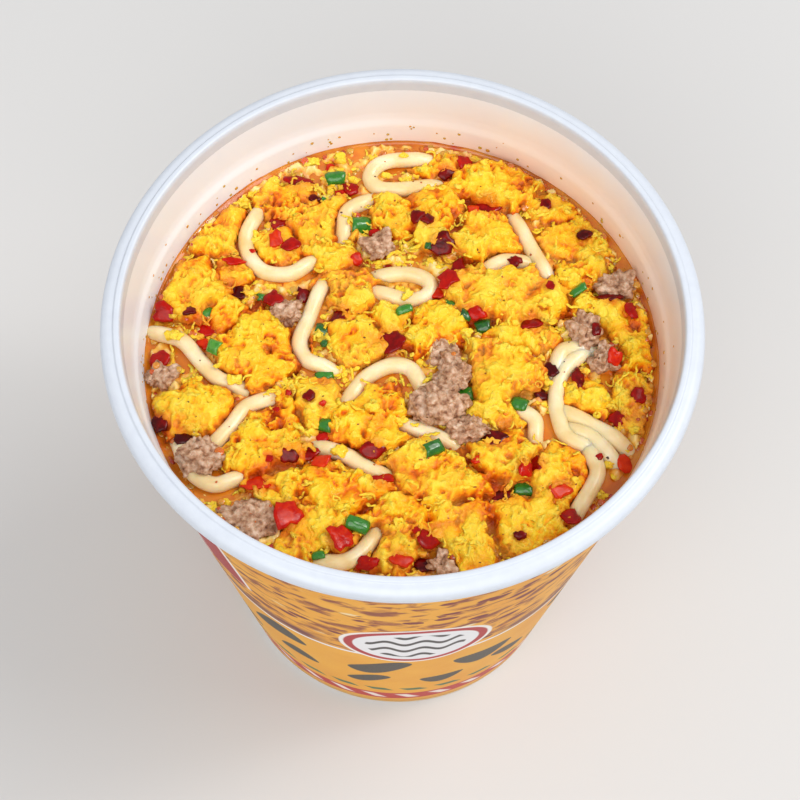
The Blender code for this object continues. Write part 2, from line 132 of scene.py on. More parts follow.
def light_colour(code):
    """A screen colour, given as a hex code, as the light that it reflects."""
    channels = [int(code[place:place + 2], 16) / 255 for place in (0, 2, 4)]
    curve = [c / 12.92 if c <= 0.04045 else ((c + 0.055) / 1.055) ** 2.4 for c in channels]
    return (*curve, 1)


def add_node(tree, kind, inputs=None, stops=None, **settings):
    """Adds a node with its settings, its colour stops and what feeds each of its sockets."""
    node = tree.nodes.new(kind)
    for name, value in settings.items():
        setattr(node, name, value)
    if stops:
        ramp = node.color_ramp.elements
        while len(ramp) < len(stops):
            ramp.new(1)
        for element, (place, code) in zip(ramp, stops):
            element.position = place
            element.color = light_colour(code)
    for socket, value in (inputs or {}).items():
        if isinstance(value, bpy.types.NodeSocket):
            tree.links.new(value, node.inputs[socket])
        else:
            node.inputs[socket].default_value = value
    return node


def new_material(name, **values):
    """A material with the plain values of its shader set, and that shader's node."""
    material = bpy.data.materials.new(name)
    material.use_nodes = True
    shader = material.node_tree.nodes["Principled BSDF"]
    for socket, value in values.items():
        shader.inputs[socket.replace("_", " ")].default_value = value
    return material, material.node_tree, shader


def per_mm(size):
    """Scale of a pattern in object coordinates, in metres, whose features are size millimetres."""
    return 1 / (size * MM)


cup_profile = rounded([
    (0, 2.6),
    (33.6, 2.6),
    (34.2, 0),
    (35.8, 0),
    (outer_radius(1.2), 1.2),
    (WALL_TOP_RADIUS, WALL_TOP_HEIGHT),
    (RIM_RADIUS - 1.6, 116.9),
    (RIM_RADIUS - 1.4, 115.5),
    (RIM_RADIUS - 0.5, 115.5),
    (RIM_RADIUS, 117.5),
    (RIM_RADIUS - 0.35, 118.9),
    (RIM_RADIUS - 1.4, 119.55),
    (RIM_RADIUS - 2.5, 119.65),
    (RIM_RADIUS - 2.75, CUP_HEIGHT),
    (MOUTH_RADIUS + 0.3, CUP_HEIGHT),
    (MOUTH_RADIUS, 119.2),
    (STEP_RADIUS, STEP_HEIGHT),
    (49.9, 108.9),
    (SHOULDER_RADIUS, SHOULDER_HEIGHT),
    (FLOOR_RADIUS, FLOOR_HEIGHT + 1.2),
    (FLOOR_RADIUS - 1.4, FLOOR_HEIGHT),
    (0, FLOOR_HEIGHT),
], 0.5)
cup = turned("cup_moulding", cup_profile, CUP_SIDES)

# Foamed polystyrene, moulded: a milky satin white that lets a little light in and shows faint
# mottling from its cells. Its outside white has a faint painted blue for reflected sky, and its inside
# is painted whiter and bluer still, as painted light. Soup has splashed and dried on the inside just
# above its surface, and this orange is painted stronger towards +X as painted reflection and shade.
cup_finish, tree, shader = new_material(
    "foamed_polystyrene_moulded", IOR=1.5, Roughness=0.34, Subsurface_Weight=0.08,
    Subsurface_Radius=(1.0, 1.0, 1.1), Subsurface_Scale=0.0012,
)
place = add_node(tree, "ShaderNodeTexCoord").outputs["Object"]
parts = add_node(tree, "ShaderNodeSeparateXYZ", {0: place})
splash = add_node(tree, "ShaderNodeTexNoise", {"Vector": place, "Scale": per_mm(7), "Detail": 5.0})
drift = add_node(tree, "ShaderNodeMapRange", {0: splash.outputs[0], 3: -0.0022, 4: 0.0022})
height = add_node(tree, "ShaderNodeMath", {0: parts.outputs[2], 1: drift.outputs[0]}, operation="ADD")
stained = add_node(
    tree, "ShaderNodeMapRange", {0: height.outputs[0], 1: STAIN_LOW, 2: STAIN_HIGH, 3: 1.0, 4: 0.0},
)
# Painted reflection and shade: the stain grows from almost nothing at -X to strong at +X.
reflection_and_shade_to_right = add_node(
    tree, "ShaderNodeMapRange", {0: parts.outputs[0], 1: -0.035, 2: 0.03, 3: 0.03, 4: 0.62},
)
radius = add_node(tree, "ShaderNodeVectorMath", {0: place, 1: (1, 1, 0)}, operation="MULTIPLY")
radius = add_node(tree, "ShaderNodeVectorMath", {0: radius.outputs[0]}, operation="LENGTH")
inside = add_node(tree, "ShaderNodeMath", {0: radius.outputs["Value"], 1: 0.0508}, operation="LESS_THAN")
amount = add_node(
    tree, "ShaderNodeMath", {0: stained.outputs[0], 1: reflection_and_shade_to_right.outputs[0]}, operation="MULTIPLY",
)
amount = add_node(
    tree, "ShaderNodeMath", {0: amount.outputs[0], 1: inside.outputs[0]}, operation="MULTIPLY",
)
cells = add_node(tree, "ShaderNodeTexNoise", {"Vector": place, "Scale": per_mm(2.2), "Detail": 3.0})
# The outside's mottled white carries a faint blue, a painted reflection of the sky.
mottled_white_sky_tint = add_node(
    tree, "ShaderNodeValToRGB", {0: cells.outputs[0]}, stops=((0.3, "D2D8E2"), (0.7, "D7DDE6")),
)
# The inside of the cup takes the brighter, bluer white: painted light on the inner wall.
inside_painted_lighter = add_node(
    tree, "ShaderNodeMix", {0: inside.outputs[0], 6: mottled_white_sky_tint.outputs[0], 7: light_colour(INNER_PAINTED_LIGHT_WHITE)},
    data_type="RGBA",
)
coloured = add_node(
    tree, "ShaderNodeMix", {0: amount.outputs[0], 6: inside_painted_lighter.outputs[2], 7: light_colour(SOUP_STAIN_AND_REFLECTION)},
    data_type="RGBA",
)
tree.links.new(coloured.outputs[2], shader.inputs["Base Color"])
satin = add_node(tree, "ShaderNodeMapRange", {0: cells.outputs[0], 3: 0.3, 4: 0.38})
tree.links.new(satin.outputs[0], shader.inputs["Roughness"])
dimples = add_node(tree, "ShaderNodeTexNoise", {"Vector": place, "Scale": per_mm(0.9), "Detail": 2.0})
relief = add_node(
    tree, "ShaderNodeBump", {"Height": dimples.outputs[0], "Strength": 0.05, "Distance": 0.00005},
)
tree.links.new(relief.outputs[0], shader.inputs["Normal"])
cup.data.materials.append(cup_finish)
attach(cup, "root")
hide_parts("cup")


# The sleeve is a sheet of printed paper board wrapped round the wall and lapped at the back.
# Its print is gold with a garnish pattern above, brushed waves below and a red band at its foot.
SLEEVE_LOW = 2.2
SLEEVE_HIGH = 114.8
SLEEVE_GAP = 0.3
SLEEVE_THICKNESS = 0.38
SLEEVE_LAP = math.radians(8)
SLEEVE_SIDES = 288
SLEEVE_MIDDLE = 45.0
PLAQUES_AT = (4.0, -92.0, 98.0)
PLAQUE_HEIGHT = 67.5
PLAQUE_HALF = (15, 15.5, 1)
PANELS = ((-35.5, 74.0), (92.0, 60.0))
DASH_SPACING = 8.8


def sleeve_sheet():
    """The sleeve as a closed ring, with its wrap (mm around, mm up) kept as a map."""
    points = []
    wrap = []
    heights = np.linspace(SLEEVE_LOW, SLEEVE_HIGH, 24)
    for side in range(SLEEVE_SIDES + 1):
        turn = 2 * math.pi * side / SLEEVE_SIDES
        angle = math.pi / 2 + turn
        near_lap = min(turn, 2 * math.pi - turn) / SLEEVE_LAP
        lift = 0.3 * max(0.0, 1 - max(0.0, near_lap - 0.8) / 0.2) if turn < math.pi else 0.0
        around = (turn - math.pi) * SLEEVE_MIDDLE
        column = [(outer_radius(h) + SLEEVE_GAP, h) for h in heights]
        column += [(r + SLEEVE_THICKNESS + lift, h) for r, h in reversed(column)]
        for radius, height in column:
            points.append((radius * math.cos(angle), radius * math.sin(angle), height))
            wrap.append((around, height))
    count = 2 * len(heights)
    faces = []
    for side in range(SLEEVE_SIDES):
        for step in range(count):
            after = (step + 1) % count
            near = side * count
            far = near + count
            faces.append((near + after, near + step, far + step, far + after))
    faces.append(tuple(range(count)))
    faces.append(tuple(range(SLEEVE_SIDES * count + count - 1, SLEEVE_SIDES * count - 1, -1)))
    thing = made_mesh("sleeve_sheet", points, faces)
    layer = thing.data.uv_layers.new(name="wrap")
    corners = np.empty(len(thing.data.loops), int)
    thing.data.loops.foreach_get("vertex_index", corners)
    layer.data.foreach_set("uv", (np.array(wrap)[corners] * MM).ravel())
    return thing


sleeve = sleeve_sheet()

# Coated paper board, offset printed: flat inks under a thin varnish, so the colours stay clear
# and the light lies on them as one broad soft sheen. Wrap coordinates are metres on the sheet.
sleeve_print, tree, shader = new_material(
    "coated_paper_printed", IOR=1.3, Specular_IOR_Level=0.2, Roughness=0.42, Coat_Weight=0.02,
)
wrap = add_node(tree, "ShaderNodeUVMap", uv_map="wrap").outputs[0]
sheet = add_node(
    tree, "ShaderNodeVectorMath", {0: wrap, "Scale": 1 / MM}, operation="SCALE",
).outputs[0]
parts = add_node(tree, "ShaderNodeSeparateXYZ", {0: sheet})
across, up = parts.outputs[0], parts.outputs[1]
tone = add_node(tree, "ShaderNodeTexNoise", {"Vector": wrap, "Scale": per_mm(14), "Detail": 3.0})
printed = add_node(
    tree, "ShaderNodeValToRGB", {0: tone.outputs[0]}, stops=((0.3, "EBA022"), (0.7, "F4B234")),
).outputs[0]

# Drawn brown streaks, and rounded flecks of which some are maroon and a few are pale.
squeezed = add_node(tree, "ShaderNodeMapping", {0: wrap, 3: (0.6, 1.1, 1.0)}).outputs[0]
streaks = add_node(
    tree, "ShaderNodeTexNoise",
    {"Vector": squeezed, "Scale": per_mm(3.4), "Detail": 4.0, "Distortion": 0.6},
).outputs[0]
cells = add_node(
    tree, "ShaderNodeTexVoronoi", {"Vector": squeezed, "Scale": per_mm(4.2), "Randomness": 0.9},
)
uneven = add_node(tree, "ShaderNodeTexNoise", {"Vector": squeezed, "Scale": per_mm(1.6), "Detail": 2.0})
fleck = add_node(
    tree, "ShaderNodeMath", {0: uneven.outputs[0], 1: 0.22, 2: cells.outputs["Distance"]},
    operation="MULTIPLY_ADD",
).outputs[0]
chosen = add_node(tree, "ShaderNodeSeparateColor", {0: cells.outputs["Color"]}).outputs[0]

# A slant for the panels, and a repeat along the sheet for the dashes.
slanted = add_node(tree, "ShaderNodeMath", {0: up, 1: 0.1, 2: across}, operation="MULTIPLY_ADD").outputs[0]
leaning = add_node(tree, "ShaderNodeMath", {0: up, 1: 0.9, 2: across}, operation="MULTIPLY_ADD").outputs[0]
leaning = add_node(tree, "ShaderNodeMath", {0: leaning, 1: DASH_SPACING}, operation="DIVIDE").outputs[0]
repeat = add_node(tree, "ShaderNodeMath", {0: leaning}, operation="FRACT").outputs[0]

# Two brushed waves that swell and thin: the field is how far past its edge a place lies.
waves = []
for middle, rise, length, thick, phase in ((45.0, 4.2, 31.0, 4.9, 0.4), (31.0, 2.8, 23.0, 3.4, 1.7)):
    along = {0: across, 1: 2 * math.pi / length, 2: phase}
    turn = add_node(tree, "ShaderNodeMath", along, operation="MULTIPLY_ADD").outputs[0]
    swing = add_node(tree, "ShaderNodeMath", {0: turn}, operation="SINE").outputs[0]
    swing = add_node(
        tree, "ShaderNodeMath", {0: swing, 1: rise, 2: middle}, operation="MULTIPLY_ADD",
    ).outputs[0]
    away = add_node(tree, "ShaderNodeMath", {0: up, 1: swing}, operation="SUBTRACT").outputs[0]
    away = add_node(tree, "ShaderNodeMath", {0: away}, operation="ABSOLUTE").outputs[0]
    along = {0: across, 1: 2 * math.pi / (length * 0.76), 2: 2.1 + phase}
    turn = add_node(tree, "ShaderNodeMath", along, operation="MULTIPLY_ADD").outputs[0]
    swell = add_node(tree, "ShaderNodeMath", {0: turn}, operation="SINE").outputs[0]
    swell = add_node(tree, "ShaderNodeMath", {0: swell, 1: 0.35}, operation="ADD").outputs[0]
    swell = add_node(tree, "ShaderNodeMath", {0: swell, 1: 0.0}, operation="MAXIMUM").outputs[0]
    swell = add_node(tree, "ShaderNodeMath", {0: swell, 1: 0.5}, operation="POWER").outputs[0]
    swell = add_node(
        tree, "ShaderNodeMath", {0: swell, 1: thick, 2: -0.4}, operation="MULTIPLY_ADD",
    ).outputs[0]
    waves.append(add_node(tree, "ShaderNodeMath", {0: away, 1: swell}, operation="SUBTRACT").outputs[0])

# Small wavy lines for the plaques, in rows.
turn = add_node(tree, "ShaderNodeMath", {0: across, 1: 2 * math.pi / 7.2}, operation="MULTIPLY").outputs[0]
ripple = add_node(tree, "ShaderNodeMath", {0: turn}, operation="SINE").outputs[0]
ripple = add_node(tree, "ShaderNodeMath", {0: ripple, 1: 1.6, 2: up}, operation="MULTIPLY_ADD").outputs[0]
ripple = add_node(tree, "ShaderNodeMath", {0: ripple, 1: 6.2}, operation="DIVIDE").outputs[0]
rows = add_node(tree, "ShaderNodeMath", {0: ripple}, operation="FRACT").outputs[0]
aside = add_node(tree, "ShaderNodeMath", {0: across, 1: PLAQUES_AT[0]}, operation="SUBTRACT").outputs[0]
aside = add_node(tree, "ShaderNodeMath", {0: aside}, operation="ABSOLUTE").outputs[0]

# Each ink covers the places where every one of its fields lies between two values. The last
# value is how soft that field's edges are.
upper = (up, 58.0, 130.0, 0.3)
inks = [
    ("B86E26", [upper, (streaks, 0.54, 0.9, 0.05)]),
    ("8E4524", [upper, (streaks, 0.61, 0.9, 0.03)]),
    ("7A2024", [upper, (fleck, -1.0, 0.42, 0.03), (chosen, -1.0, 0.7, 0.001)]),
    ("F2DDAE", [upper, (fleck, -1.0, 0.40, 0.06), (chosen, 0.86, 2.0, 0.001)]),
    ("6E3440", [(up, 58.5, 63.5, 2.5), (aside, 19.0, 400.0, 3.0)]),
    ("F6F0EA", [(up, 56.8, 58.2, 0.2)]),
    ("47443C", [(waves[0], -99.0, 0.0, 0.2)]),
    ("47443C", [(waves[1], -99.0, 0.0, 0.2)]),
    ("4C7048", [(up, 17.8, 20.2, 0.3), (repeat, 0.2, 0.8, 0.03)]),
    ("BE2C2C", [(up, 7.2, 14.0, 0.2)]),
    ("F3E3DC", [(up, 8.6, 12.6, 0.3), (repeat, 0.30, 0.66, 0.05)]),
    ("F7D78C", [(up, -9.0, 3.0, 0.2)]),
]
for low, foot in PANELS:
    tall = (up, foot, 130.0, 0.3)
    inks.append(("F6ECE6", [tall, (slanted, low - 1.0, low + 14.0, 0.2)]))
    inks.append(("AC2A2E", [tall, (slanted, low, low + 13.0, 0.2)]))
    inks.append(("F6ECE6", [tall, (slanted, low + 2.8, low + 3.6, 0.2)]))
for middle in PLAQUES_AT:
    offset = add_node(
        tree, "ShaderNodeVectorMath", {0: sheet, 1: (middle, PLAQUE_HEIGHT, 0)}, operation="SUBTRACT",
    ).outputs[0]
    offset = add_node(tree, "ShaderNodeVectorMath", {0: offset, 1: PLAQUE_HALF}, operation="DIVIDE")
    oval = add_node(
        tree, "ShaderNodeVectorMath", {0: offset.outputs[0]}, operation="LENGTH",
    ).outputs["Value"]
    inks.append(("F8F2EC", [(oval, -1.0, 1.0, 0.01)]))
    inks.append(("B4262C", [(oval, -1.0, 0.94, 0.01)]))
    inks.append(("F1F0F2", [(oval, -1.0, 0.82, 0.01)]))
    inks.append(("3C3937", [(oval, -1.0, 0.66, 0.01), (rows, 0.28, 0.62, 0.05)]))

for ink, fields in inks:
    amount = 1.0
    for field, low, high, soft in fields:
        rise = {0: field, 1: low - soft, 2: low + soft}
        fall = {0: field, 1: high - soft, 2: high + soft, 3: 1.0, 4: 0.0}
        for edge in (rise, fall):
            inside = add_node(tree, "ShaderNodeMapRange", edge).outputs[0]
            both = {0: amount, 1: inside}
            amount = add_node(tree, "ShaderNodeMath", both, operation="MULTIPLY").outputs[0]
    printed = add_node(
        tree, "ShaderNodeMix", {0: amount, 6: printed, 7: light_colour(ink)}, data_type="RGBA",
    ).outputs[2]
tree.links.new(printed, shader.inputs["Base Color"])
grain = add_node(tree, "ShaderNodeTexNoise", {"Vector": wrap, "Scale": per_mm(0.6), "Detail": 2.0})
varnish = add_node(tree, "ShaderNodeMapRange", {0: grain.outputs[0], 3: 0.32, 4: 0.44})
tree.links.new(varnish.outputs[0], shader.inputs["Roughness"])
relief = add_node(
    tree, "ShaderNodeBump", {"Height": grain.outputs[0], "Strength": 0.1, "Distance": 0.00006},
)
tree.links.new(relief.outputs[0], shader.inputs["Normal"])
sleeve.data.materials.append(sleeve_print)
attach(sleeve, "root")
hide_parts("label")


# The broth is a spicy, oily soup that fills the cup to just under the step in its wall.
# It lies in a ring round the noodles and closes over them, and creeps up the wall at its edge.
BROTH_LEVEL = 102.4
CORE_RADIUS = 44.0
CORE_FOOT_RADIUS = 29.0
GAP = 0.3
CORE_TOP = BROTH_LEVEL - 1.1
INTO_WALL = 0.12
RIPPLE = 0.16


def core_radius(height):
    """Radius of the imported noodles, which the broth surrounds."""
    share = (height - FLOOR_HEIGHT) / (BROTH_LEVEL - FLOOR_HEIGHT)
    return CORE_FOOT_RADIUS + share * (CORE_RADIUS - CORE_FOOT_RADIUS)


edge = wall_radius(BROTH_LEVEL)
surface = [(edge * share, BROTH_LEVEL) for share in np.linspace(0.02, 0.955, 90)]
surface += [(edge - 1.3, BROTH_LEVEL + 0.06), (edge - 0.7, BROTH_LEVEL + 0.2)]
surface += [(edge - 0.3, BROTH_LEVEL + 0.42)]
surface += [(wall_radius(BROTH_LEVEL + 0.8) + INTO_WALL, BROTH_LEVEL + 0.8)]
body = [
    (FLOOR_RADIUS + INTO_WALL, FLOOR_HEIGHT + 1.3),
    (FLOOR_RADIUS - 1.5, FLOOR_HEIGHT - 0.1),
    (core_radius(FLOOR_HEIGHT) + GAP, FLOOR_HEIGHT - 0.1),
    (core_radius(CORE_TOP) + GAP, CORE_TOP + 0.1),
    (0, CORE_TOP + 0.1),
]
broth = turned("broth_pool", [(0, BROTH_LEVEL)] + surface + body, CUP_SIDES)
for vertex in broth.data.vertices:
    point = vertex.co / MM
    if point.z > BROTH_LEVEL - 0.01:
        lift = noise.fractal(Vector((point.x, point.y, 0)) / 3.5, 1.0, 2.0, 3)
        vertex.co.z += RIPPLE * lift * MM
broth.data.flip_normals()

# Chili broth with a film of oil: thick and clear amber, mirror smooth, with redder pools of oil
# and a dark amber depth where it is thick.
broth_finish, tree, shader = new_material(
    "chili_broth_oily", IOR=1.36, Roughness=0.06, Subsurface_Weight=0.35,
    Subsurface_Radius=(2.4, 0.9, 0.25), Subsurface_Scale=0.0016, Coat_Weight=0.5, Coat_Roughness=0.03,
)
place = add_node(tree, "ShaderNodeTexCoord").outputs["Object"]
pools = add_node(
    tree, "ShaderNodeTexNoise", {"Vector": place, "Scale": per_mm(9), "Detail": 5.0, "Distortion": 0.8},
)
amber = add_node(
    tree, "ShaderNodeValToRGB", {0: pools.outputs[0]},
    stops=((0.30, "B44E0E"), (0.46, "D87418"), (0.58, "E48A22"), (0.72, "C83E0A")),
)
tree.links.new(amber.outputs[0], shader.inputs["Base Color"])
film = add_node(tree, "ShaderNodeTexNoise", {"Vector": place, "Scale": per_mm(1.5), "Detail": 3.0})
relief = add_node(
    tree, "ShaderNodeBump", {"Height": film.outputs[0], "Strength": 0.25, "Distance": 0.0003},
)
tree.links.new(relief.outputs[0], shader.inputs["Normal"])
broth.data.materials.append(broth_finish)
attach(broth, "root")
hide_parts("broth")


# The noodles are thick round wheat noodles that fill the cup from its floor to the broth's level.
# Those that break the surface are drawn one by one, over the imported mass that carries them.
STRAND_RADIUS = 1.55
STRAND_SIDES = 20
STRAND_STEP = 0.55
STRAND_HEIGHT = BROTH_LEVEL + 0.55
STRAND_SUNK_ENDS = 8

# The way of each strand that shows, (x, y) from end to end.
STRANDS = (
    ((-29.5, 29.5), (-31, 25), (-30, 20.5), (-27, 17.5), (-22, 17), (-18.5, 19.5)),
    ((4.5, 38), (-1, 37), (-5.3, 37.2), (-7.2, 39.4), (-6, 42), (-2.5, 43.6), (2.5, 44)),
    ((-12, 27), (-11.5, 31.5), (-8, 34)),
    ((-4, 17.2), (0.5, 17.6), (4, 16.6), (5.2, 14.7), (4, 12.7), (0.5, 11.8), (-4.5, 13.3)),
    ((-16, 14), (-18, 7.5), (-19.5, 2), (-18, -1.5), (-14.5, -3)),
    ((-45.5, 3), (-41.5, 1.5), (-38, -2.5), (-34.5, -6), (-30.5, -7.5)),
    ((-25, -10), (-29, -12), (-31.5, -16), (-34.5, -20)),
    ((-40.5, -20.5), (-39.3, -23.3), (-37, -26.5), (-33.5, -28), (-30, -26.5)),
    ((-9.5, -9), (-6.5, -5), (-2, -2.5), (1.5, -3), (3.5, -6)),
    ((-13.5, -20), (-9.5, -21.5), (-6.5, -23.5), (-3, -25)),
    ((22, 30), (24, 25.5), (27.5, 18.5)),
    ((16.5, 19.5), (19.5, 21), (23, 21)),
    ((34, 1), (30.5, -3), (29, -9), (30.5, -16), (34.5, -18.5)),
    ((29, -2), (30.5, 1.5), (34, 2)),
    ((31, -11.5), (35, -13.5), (40, -17)),
    ((32, -15), (35.5, -16.5), (38.5, -20)),
    ((23, -11.5), (25, -13.5), (25, -17)),
    ((1.5, -15), (5.5, -16.5), (9, -18)),
    ((35, -19.5), (36.3, -23.5), (35, -27), (33, -30.5)),
    ((-13, -42.5), (-9.5, -42.5), (-6.5, -40.5), (-4.5, -37.5)),
)


def smooth_route(points, step):
    """Points a step apart along a smooth curve through the given (x, y)."""
    ends = [Vector(point) for point in points]
    ends = [2 * ends[0] - ends[1], *ends, 2 * ends[-1] - ends[-2]]
    route = [ends[1]]
    for before, start, end, after in zip(ends, ends[1:], ends[2:], ends[3:]):
        pieces = math.ceil((end - start).length / step)
        for piece in range(1, pieces + 1):
            share = piece / pieces
            point = 2 * start
            point += (end - before) * share
            point += (2 * before - 5 * start + 4 * end - after) * share ** 2
            point += (3 * start - before - 3 * end + after) * share ** 3
            route.append(point / 2)
    return route


def strand_tube(points, seed):
    """Points and faces of one strand: a round tube whose ends dip under what lies beside them."""
    route = smooth_route(points, STRAND_STEP)
    extra = STRAND_SUNK_ENDS
    start_way = (route[0] - route[1]).normalized()
    end_way = (route[-1] - route[-2]).normalized()
    before = [route[0] + start_way * STRAND_STEP * step for step in range(extra, 0, -1)]
    after = [route[-1] + end_way * STRAND_STEP * step for step in range(1, extra + 1)]
    line = before + route + after
    middles = []
    for index, place in enumerate(line):
        past = max(extra + 3 - index, index - (len(line) - extra - 4), 0) / (extra + 3)
        lift = 0.35 * noise.noise(Vector((place.x, place.y, seed * 7.3)) / 6)
        height = STRAND_HEIGHT + lift - 3.4 * past ** 2
        height += 0.5 * min(max((place.length - CORE_RADIUS + 5) / 4, 0), 1)
        middles.append(Vector((place.x, place.y, height)))
    corners = []
    faces = []
    count = len(middles)
    for index, middle in enumerate(middles):
        way = (middles[min(index + 1, count - 1)] - middles[max(index - 1, 0)]).normalized()
        side = way.cross(Vector((0, 0, 1))).normalized()
        over = side.cross(way)
        end = min(index, count - 1 - index)
        close = (0.45, 0.8, 0.95)[end] if end < 3 else 1.0
        swell = 1 + 0.05 * noise.noise(Vector((index * 0.12, seed * 3.1, 0)))
        for step in range(STRAND_SIDES):
            angle = 2 * math.pi * step / STRAND_SIDES
            radius = STRAND_RADIUS * close * swell
            flat_way = side * math.cos(angle) + over * 0.96 * math.sin(angle)
            corners.append(middle + radius * flat_way)
    for index in range(count - 1):
        first = index * STRAND_SIDES
        for step in range(STRAND_SIDES):
            after_step = (step + 1) % STRAND_SIDES
            near = (first + step, first + after_step)
            far = (first + STRAND_SIDES + after_step, first + STRAND_SIDES + step)
            faces.append(near + far)
    faces.append(tuple(reversed(range(STRAND_SIDES))))
    faces.append(tuple(range((count - 1) * STRAND_SIDES, count * STRAND_SIDES)))
    return corners, faces


class Heap:
    """Points and faces of many small shapes that become one piece."""

    def __init__(self):
        self.points = []
        self.faces = []
        self.tones = []

    def add(self, points, faces, tone=0.5):
        """Adds a shape, with a tone from 0 to 1 that its material may vary by."""
        start = len(self.points)
        self.points.extend(tuple(point) for point in points)
        self.faces.extend(tuple(corner + start for corner in face) for face in faces)
        self.tones.extend([tone] * len(points))

    def piece(self, name, material):
        """The finished piece, with each shape's tone kept for its material."""
        thing = made_mesh(name, self.points, self.faces)
        tone = thing.data.attributes.new("tone", "FLOAT", "POINT")
        tone.data.foreach_set("value", self.tones)
        thing.data.materials.append(material)
        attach(thing, "root")
        return thing


# Boiled wheat noodle: smooth, cream and slightly translucent, with a wet sheen along its top
# and a faint stain of broth. The strand wall is far too fine-grained to show any texture.
noodle_finish, tree, shader = new_material(
    "wheat_noodle_boiled", IOR=1.42, Roughness=0.3, Subsurface_Weight=0.5,
    Subsurface_Radius=(1.8, 1.1, 0.5), Subsurface_Scale=0.0011, Coat_Weight=0.35, Coat_Roughness=0.12,
)
place = add_node(tree, "ShaderNodeTexCoord").outputs["Object"]
cloudy = add_node(tree, "ShaderNodeTexNoise", {"Vector": place, "Scale": per_mm(5), "Detail": 4.0})
cream = add_node(
    tree, "ShaderNodeValToRGB", {0: cloudy.outputs[0]},
    stops=((0.30, "E6C88A"), (0.48, "F1D8A4"), (0.68, "F8E7C2")),
)
tree.links.new(cream.outputs[0], shader.inputs["Base Color"])
skin = add_node(tree, "ShaderNodeTexNoise", {"Vector": place, "Scale": per_mm(0.7), "Detail": 2.0})
wet = add_node(tree, "ShaderNodeMapRange", {0: skin.outputs[0], 3: 0.22, 4: 0.4})
tree.links.new(wet.outputs[0], shader.inputs["Roughness"])
relief = add_node(
    tree, "ShaderNodeBump", {"Height": skin.outputs[0], "Strength": 0.15, "Distance": 0.0001},
)
tree.links.new(relief.outputs[0], shader.inputs["Normal"])

noodle_heap = Heap()
core_line = rounded([
    (0, FLOOR_HEIGHT + GAP), (CORE_FOOT_RADIUS, FLOOR_HEIGHT + GAP),
    (core_radius(CORE_TOP), CORE_TOP), (0, CORE_TOP),
], 3.0)
core = turned("core", core_line, 96)
core_points = [vertex.co / MM for vertex in core.data.vertices]
core_faces = [tuple(face.vertices) for face in core.data.polygons]
noodle_heap.add(core_points, core_faces)
bpy.data.objects.remove(core)
for seed, points in enumerate(STRANDS):
    noodle_heap.add(*strand_tube(points, seed))
noodles = noodle_heap.piece("noodle_strands", noodle_finish)
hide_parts("noodles")


# The egg is scrambled egg, freeze dried and soaked again: soft curds with a torn, feathery skin.
# Each curd lies on the noodles and broth, and they crowd together over most of the surface.
LOOSE_TOP = BROTH_LEVEL + GAP
CURD_FOOT = BROTH_LEVEL - 0.9

# How far past its half sizes a curd may spread, and how far apart the points of its skin are.
FILL = 1.47
CELL = 0.317

# The middle (x, y), the half sizes along x and y, and the height of each curd and pork crumb.
EGG_CURDS = (
    (-37, 26, 5, 4.5, 4),
    (-23, 33, 4.5, 3, 3),
    (-16, 28, 5, 4.5, 3.5),
    (-2, 31, 3.5, 5, 3.5),
    (6, 31, 5, 5.5, 4),
    (6, 43, 4, 2, 2),
    (18, 38, 8, 4.5, 4),
    (15, 27, 5.5, 4.5, 4),
    (34, 26, 6, 4, 2),
    (21, 13, 9.5, 6, 5),
    (35, 18, 5, 3, 3),
    (38, 10, 4.5, 3.5, 4),
    (44, 3, 3.5, 6, 4),
    (18, -4, 6, 6.5, 5),
    (22, 4, 5, 2.5, 3.2),
    (6, 5, 5, 5, 4),
    (-2, 7, 3.5, 4, 3),
    (-10, 14, 5, 4, 4),
    (-8, 3, 4.5, 4, 3.5),
    (-40, 13, 5.5, 5, 4),
    (-33, 7, 3, 3, 3),
    (-27, 1, 6, 7, 5),
    (-40, -13, 6, 4.5, 4),
    (-23, -13, 4.5, 3.5, 3),
    (-27, -21, 6.5, 5, 4),
    (-5, -14, 6, 5, 4.5),
    (-10, -28, 7.5, 4, 4.5),
    (-22, -29, 3.5, 4.5, 3.5),
    (-16, -37, 6, 5, 3.5),
    (-1, -36, 5.5, 6, 4.5),
    (8, -25, 8, 5, 5),
    (18, -21, 6.5, 4.5, 5),
    (12, -37, 5.5, 6, 4),
    (23, -35, 6, 4.5, 3.5),
    (30, -25, 5, 4.5, 3.5),
    (34, -9, 4, 3.5, 3),
    (44, -8, 3, 5, 3),
    (18, -12, 5.5, 2.5, 2.8),
    (-16, -11, 4.5, 4, 3.2),
    (-14, 21, 4, 3, 3),
    (-24.5, 23, 3, 3.2, 2.6),
    (-33.5, 16.5, 3, 2.6, 2.6),
    (29, 33.5, 3.6, 2.6, 2.2),
)
PORK_CRUMBS = (
    (-5, 23.5, 2.5, 2.5, 3.5),
    (8, -0.5, 2.6, 2.4, 3.6),
    (9.5, -5, 3, 2.8, 4.5),
    (7, -11, 4.5, 3.5, 6),
    (13, -16, 3.5, 2, 4),
    (41, 15.5, 3.5, 2.5, 3.5),
    (34.5, 5.5, 2.5, 3, 4),
    (38, -0.5, 2.5, 2.5, 4),
    (-36.5, -23, 3.5, 3, 5),
    (-27, -35, 5, 3.5, 3.5),
    (-45, -6.5, 2.5, 2, 3),
    (-22, 8.5, 2.5, 2.5, 3),
    (8, -42.5, 2, 2, 2.5),
)
EGG_NODES = [f"egg_{number:02d}" for number in range(1, len(EGG_CURDS) + 1)]
PORK_NODES = [f"pork_{number:02d}" for number in range(1, len(PORK_CRUMBS) + 1)]


def noise_at(places, size, seed, kind):
    """One kind of noise at each (x, y), for features of a size in millimetres."""
    found = []
    for x, y in places:
        point = Vector((x / size, y / size, seed))
        found.append(kind(point))
    return np.array(found)


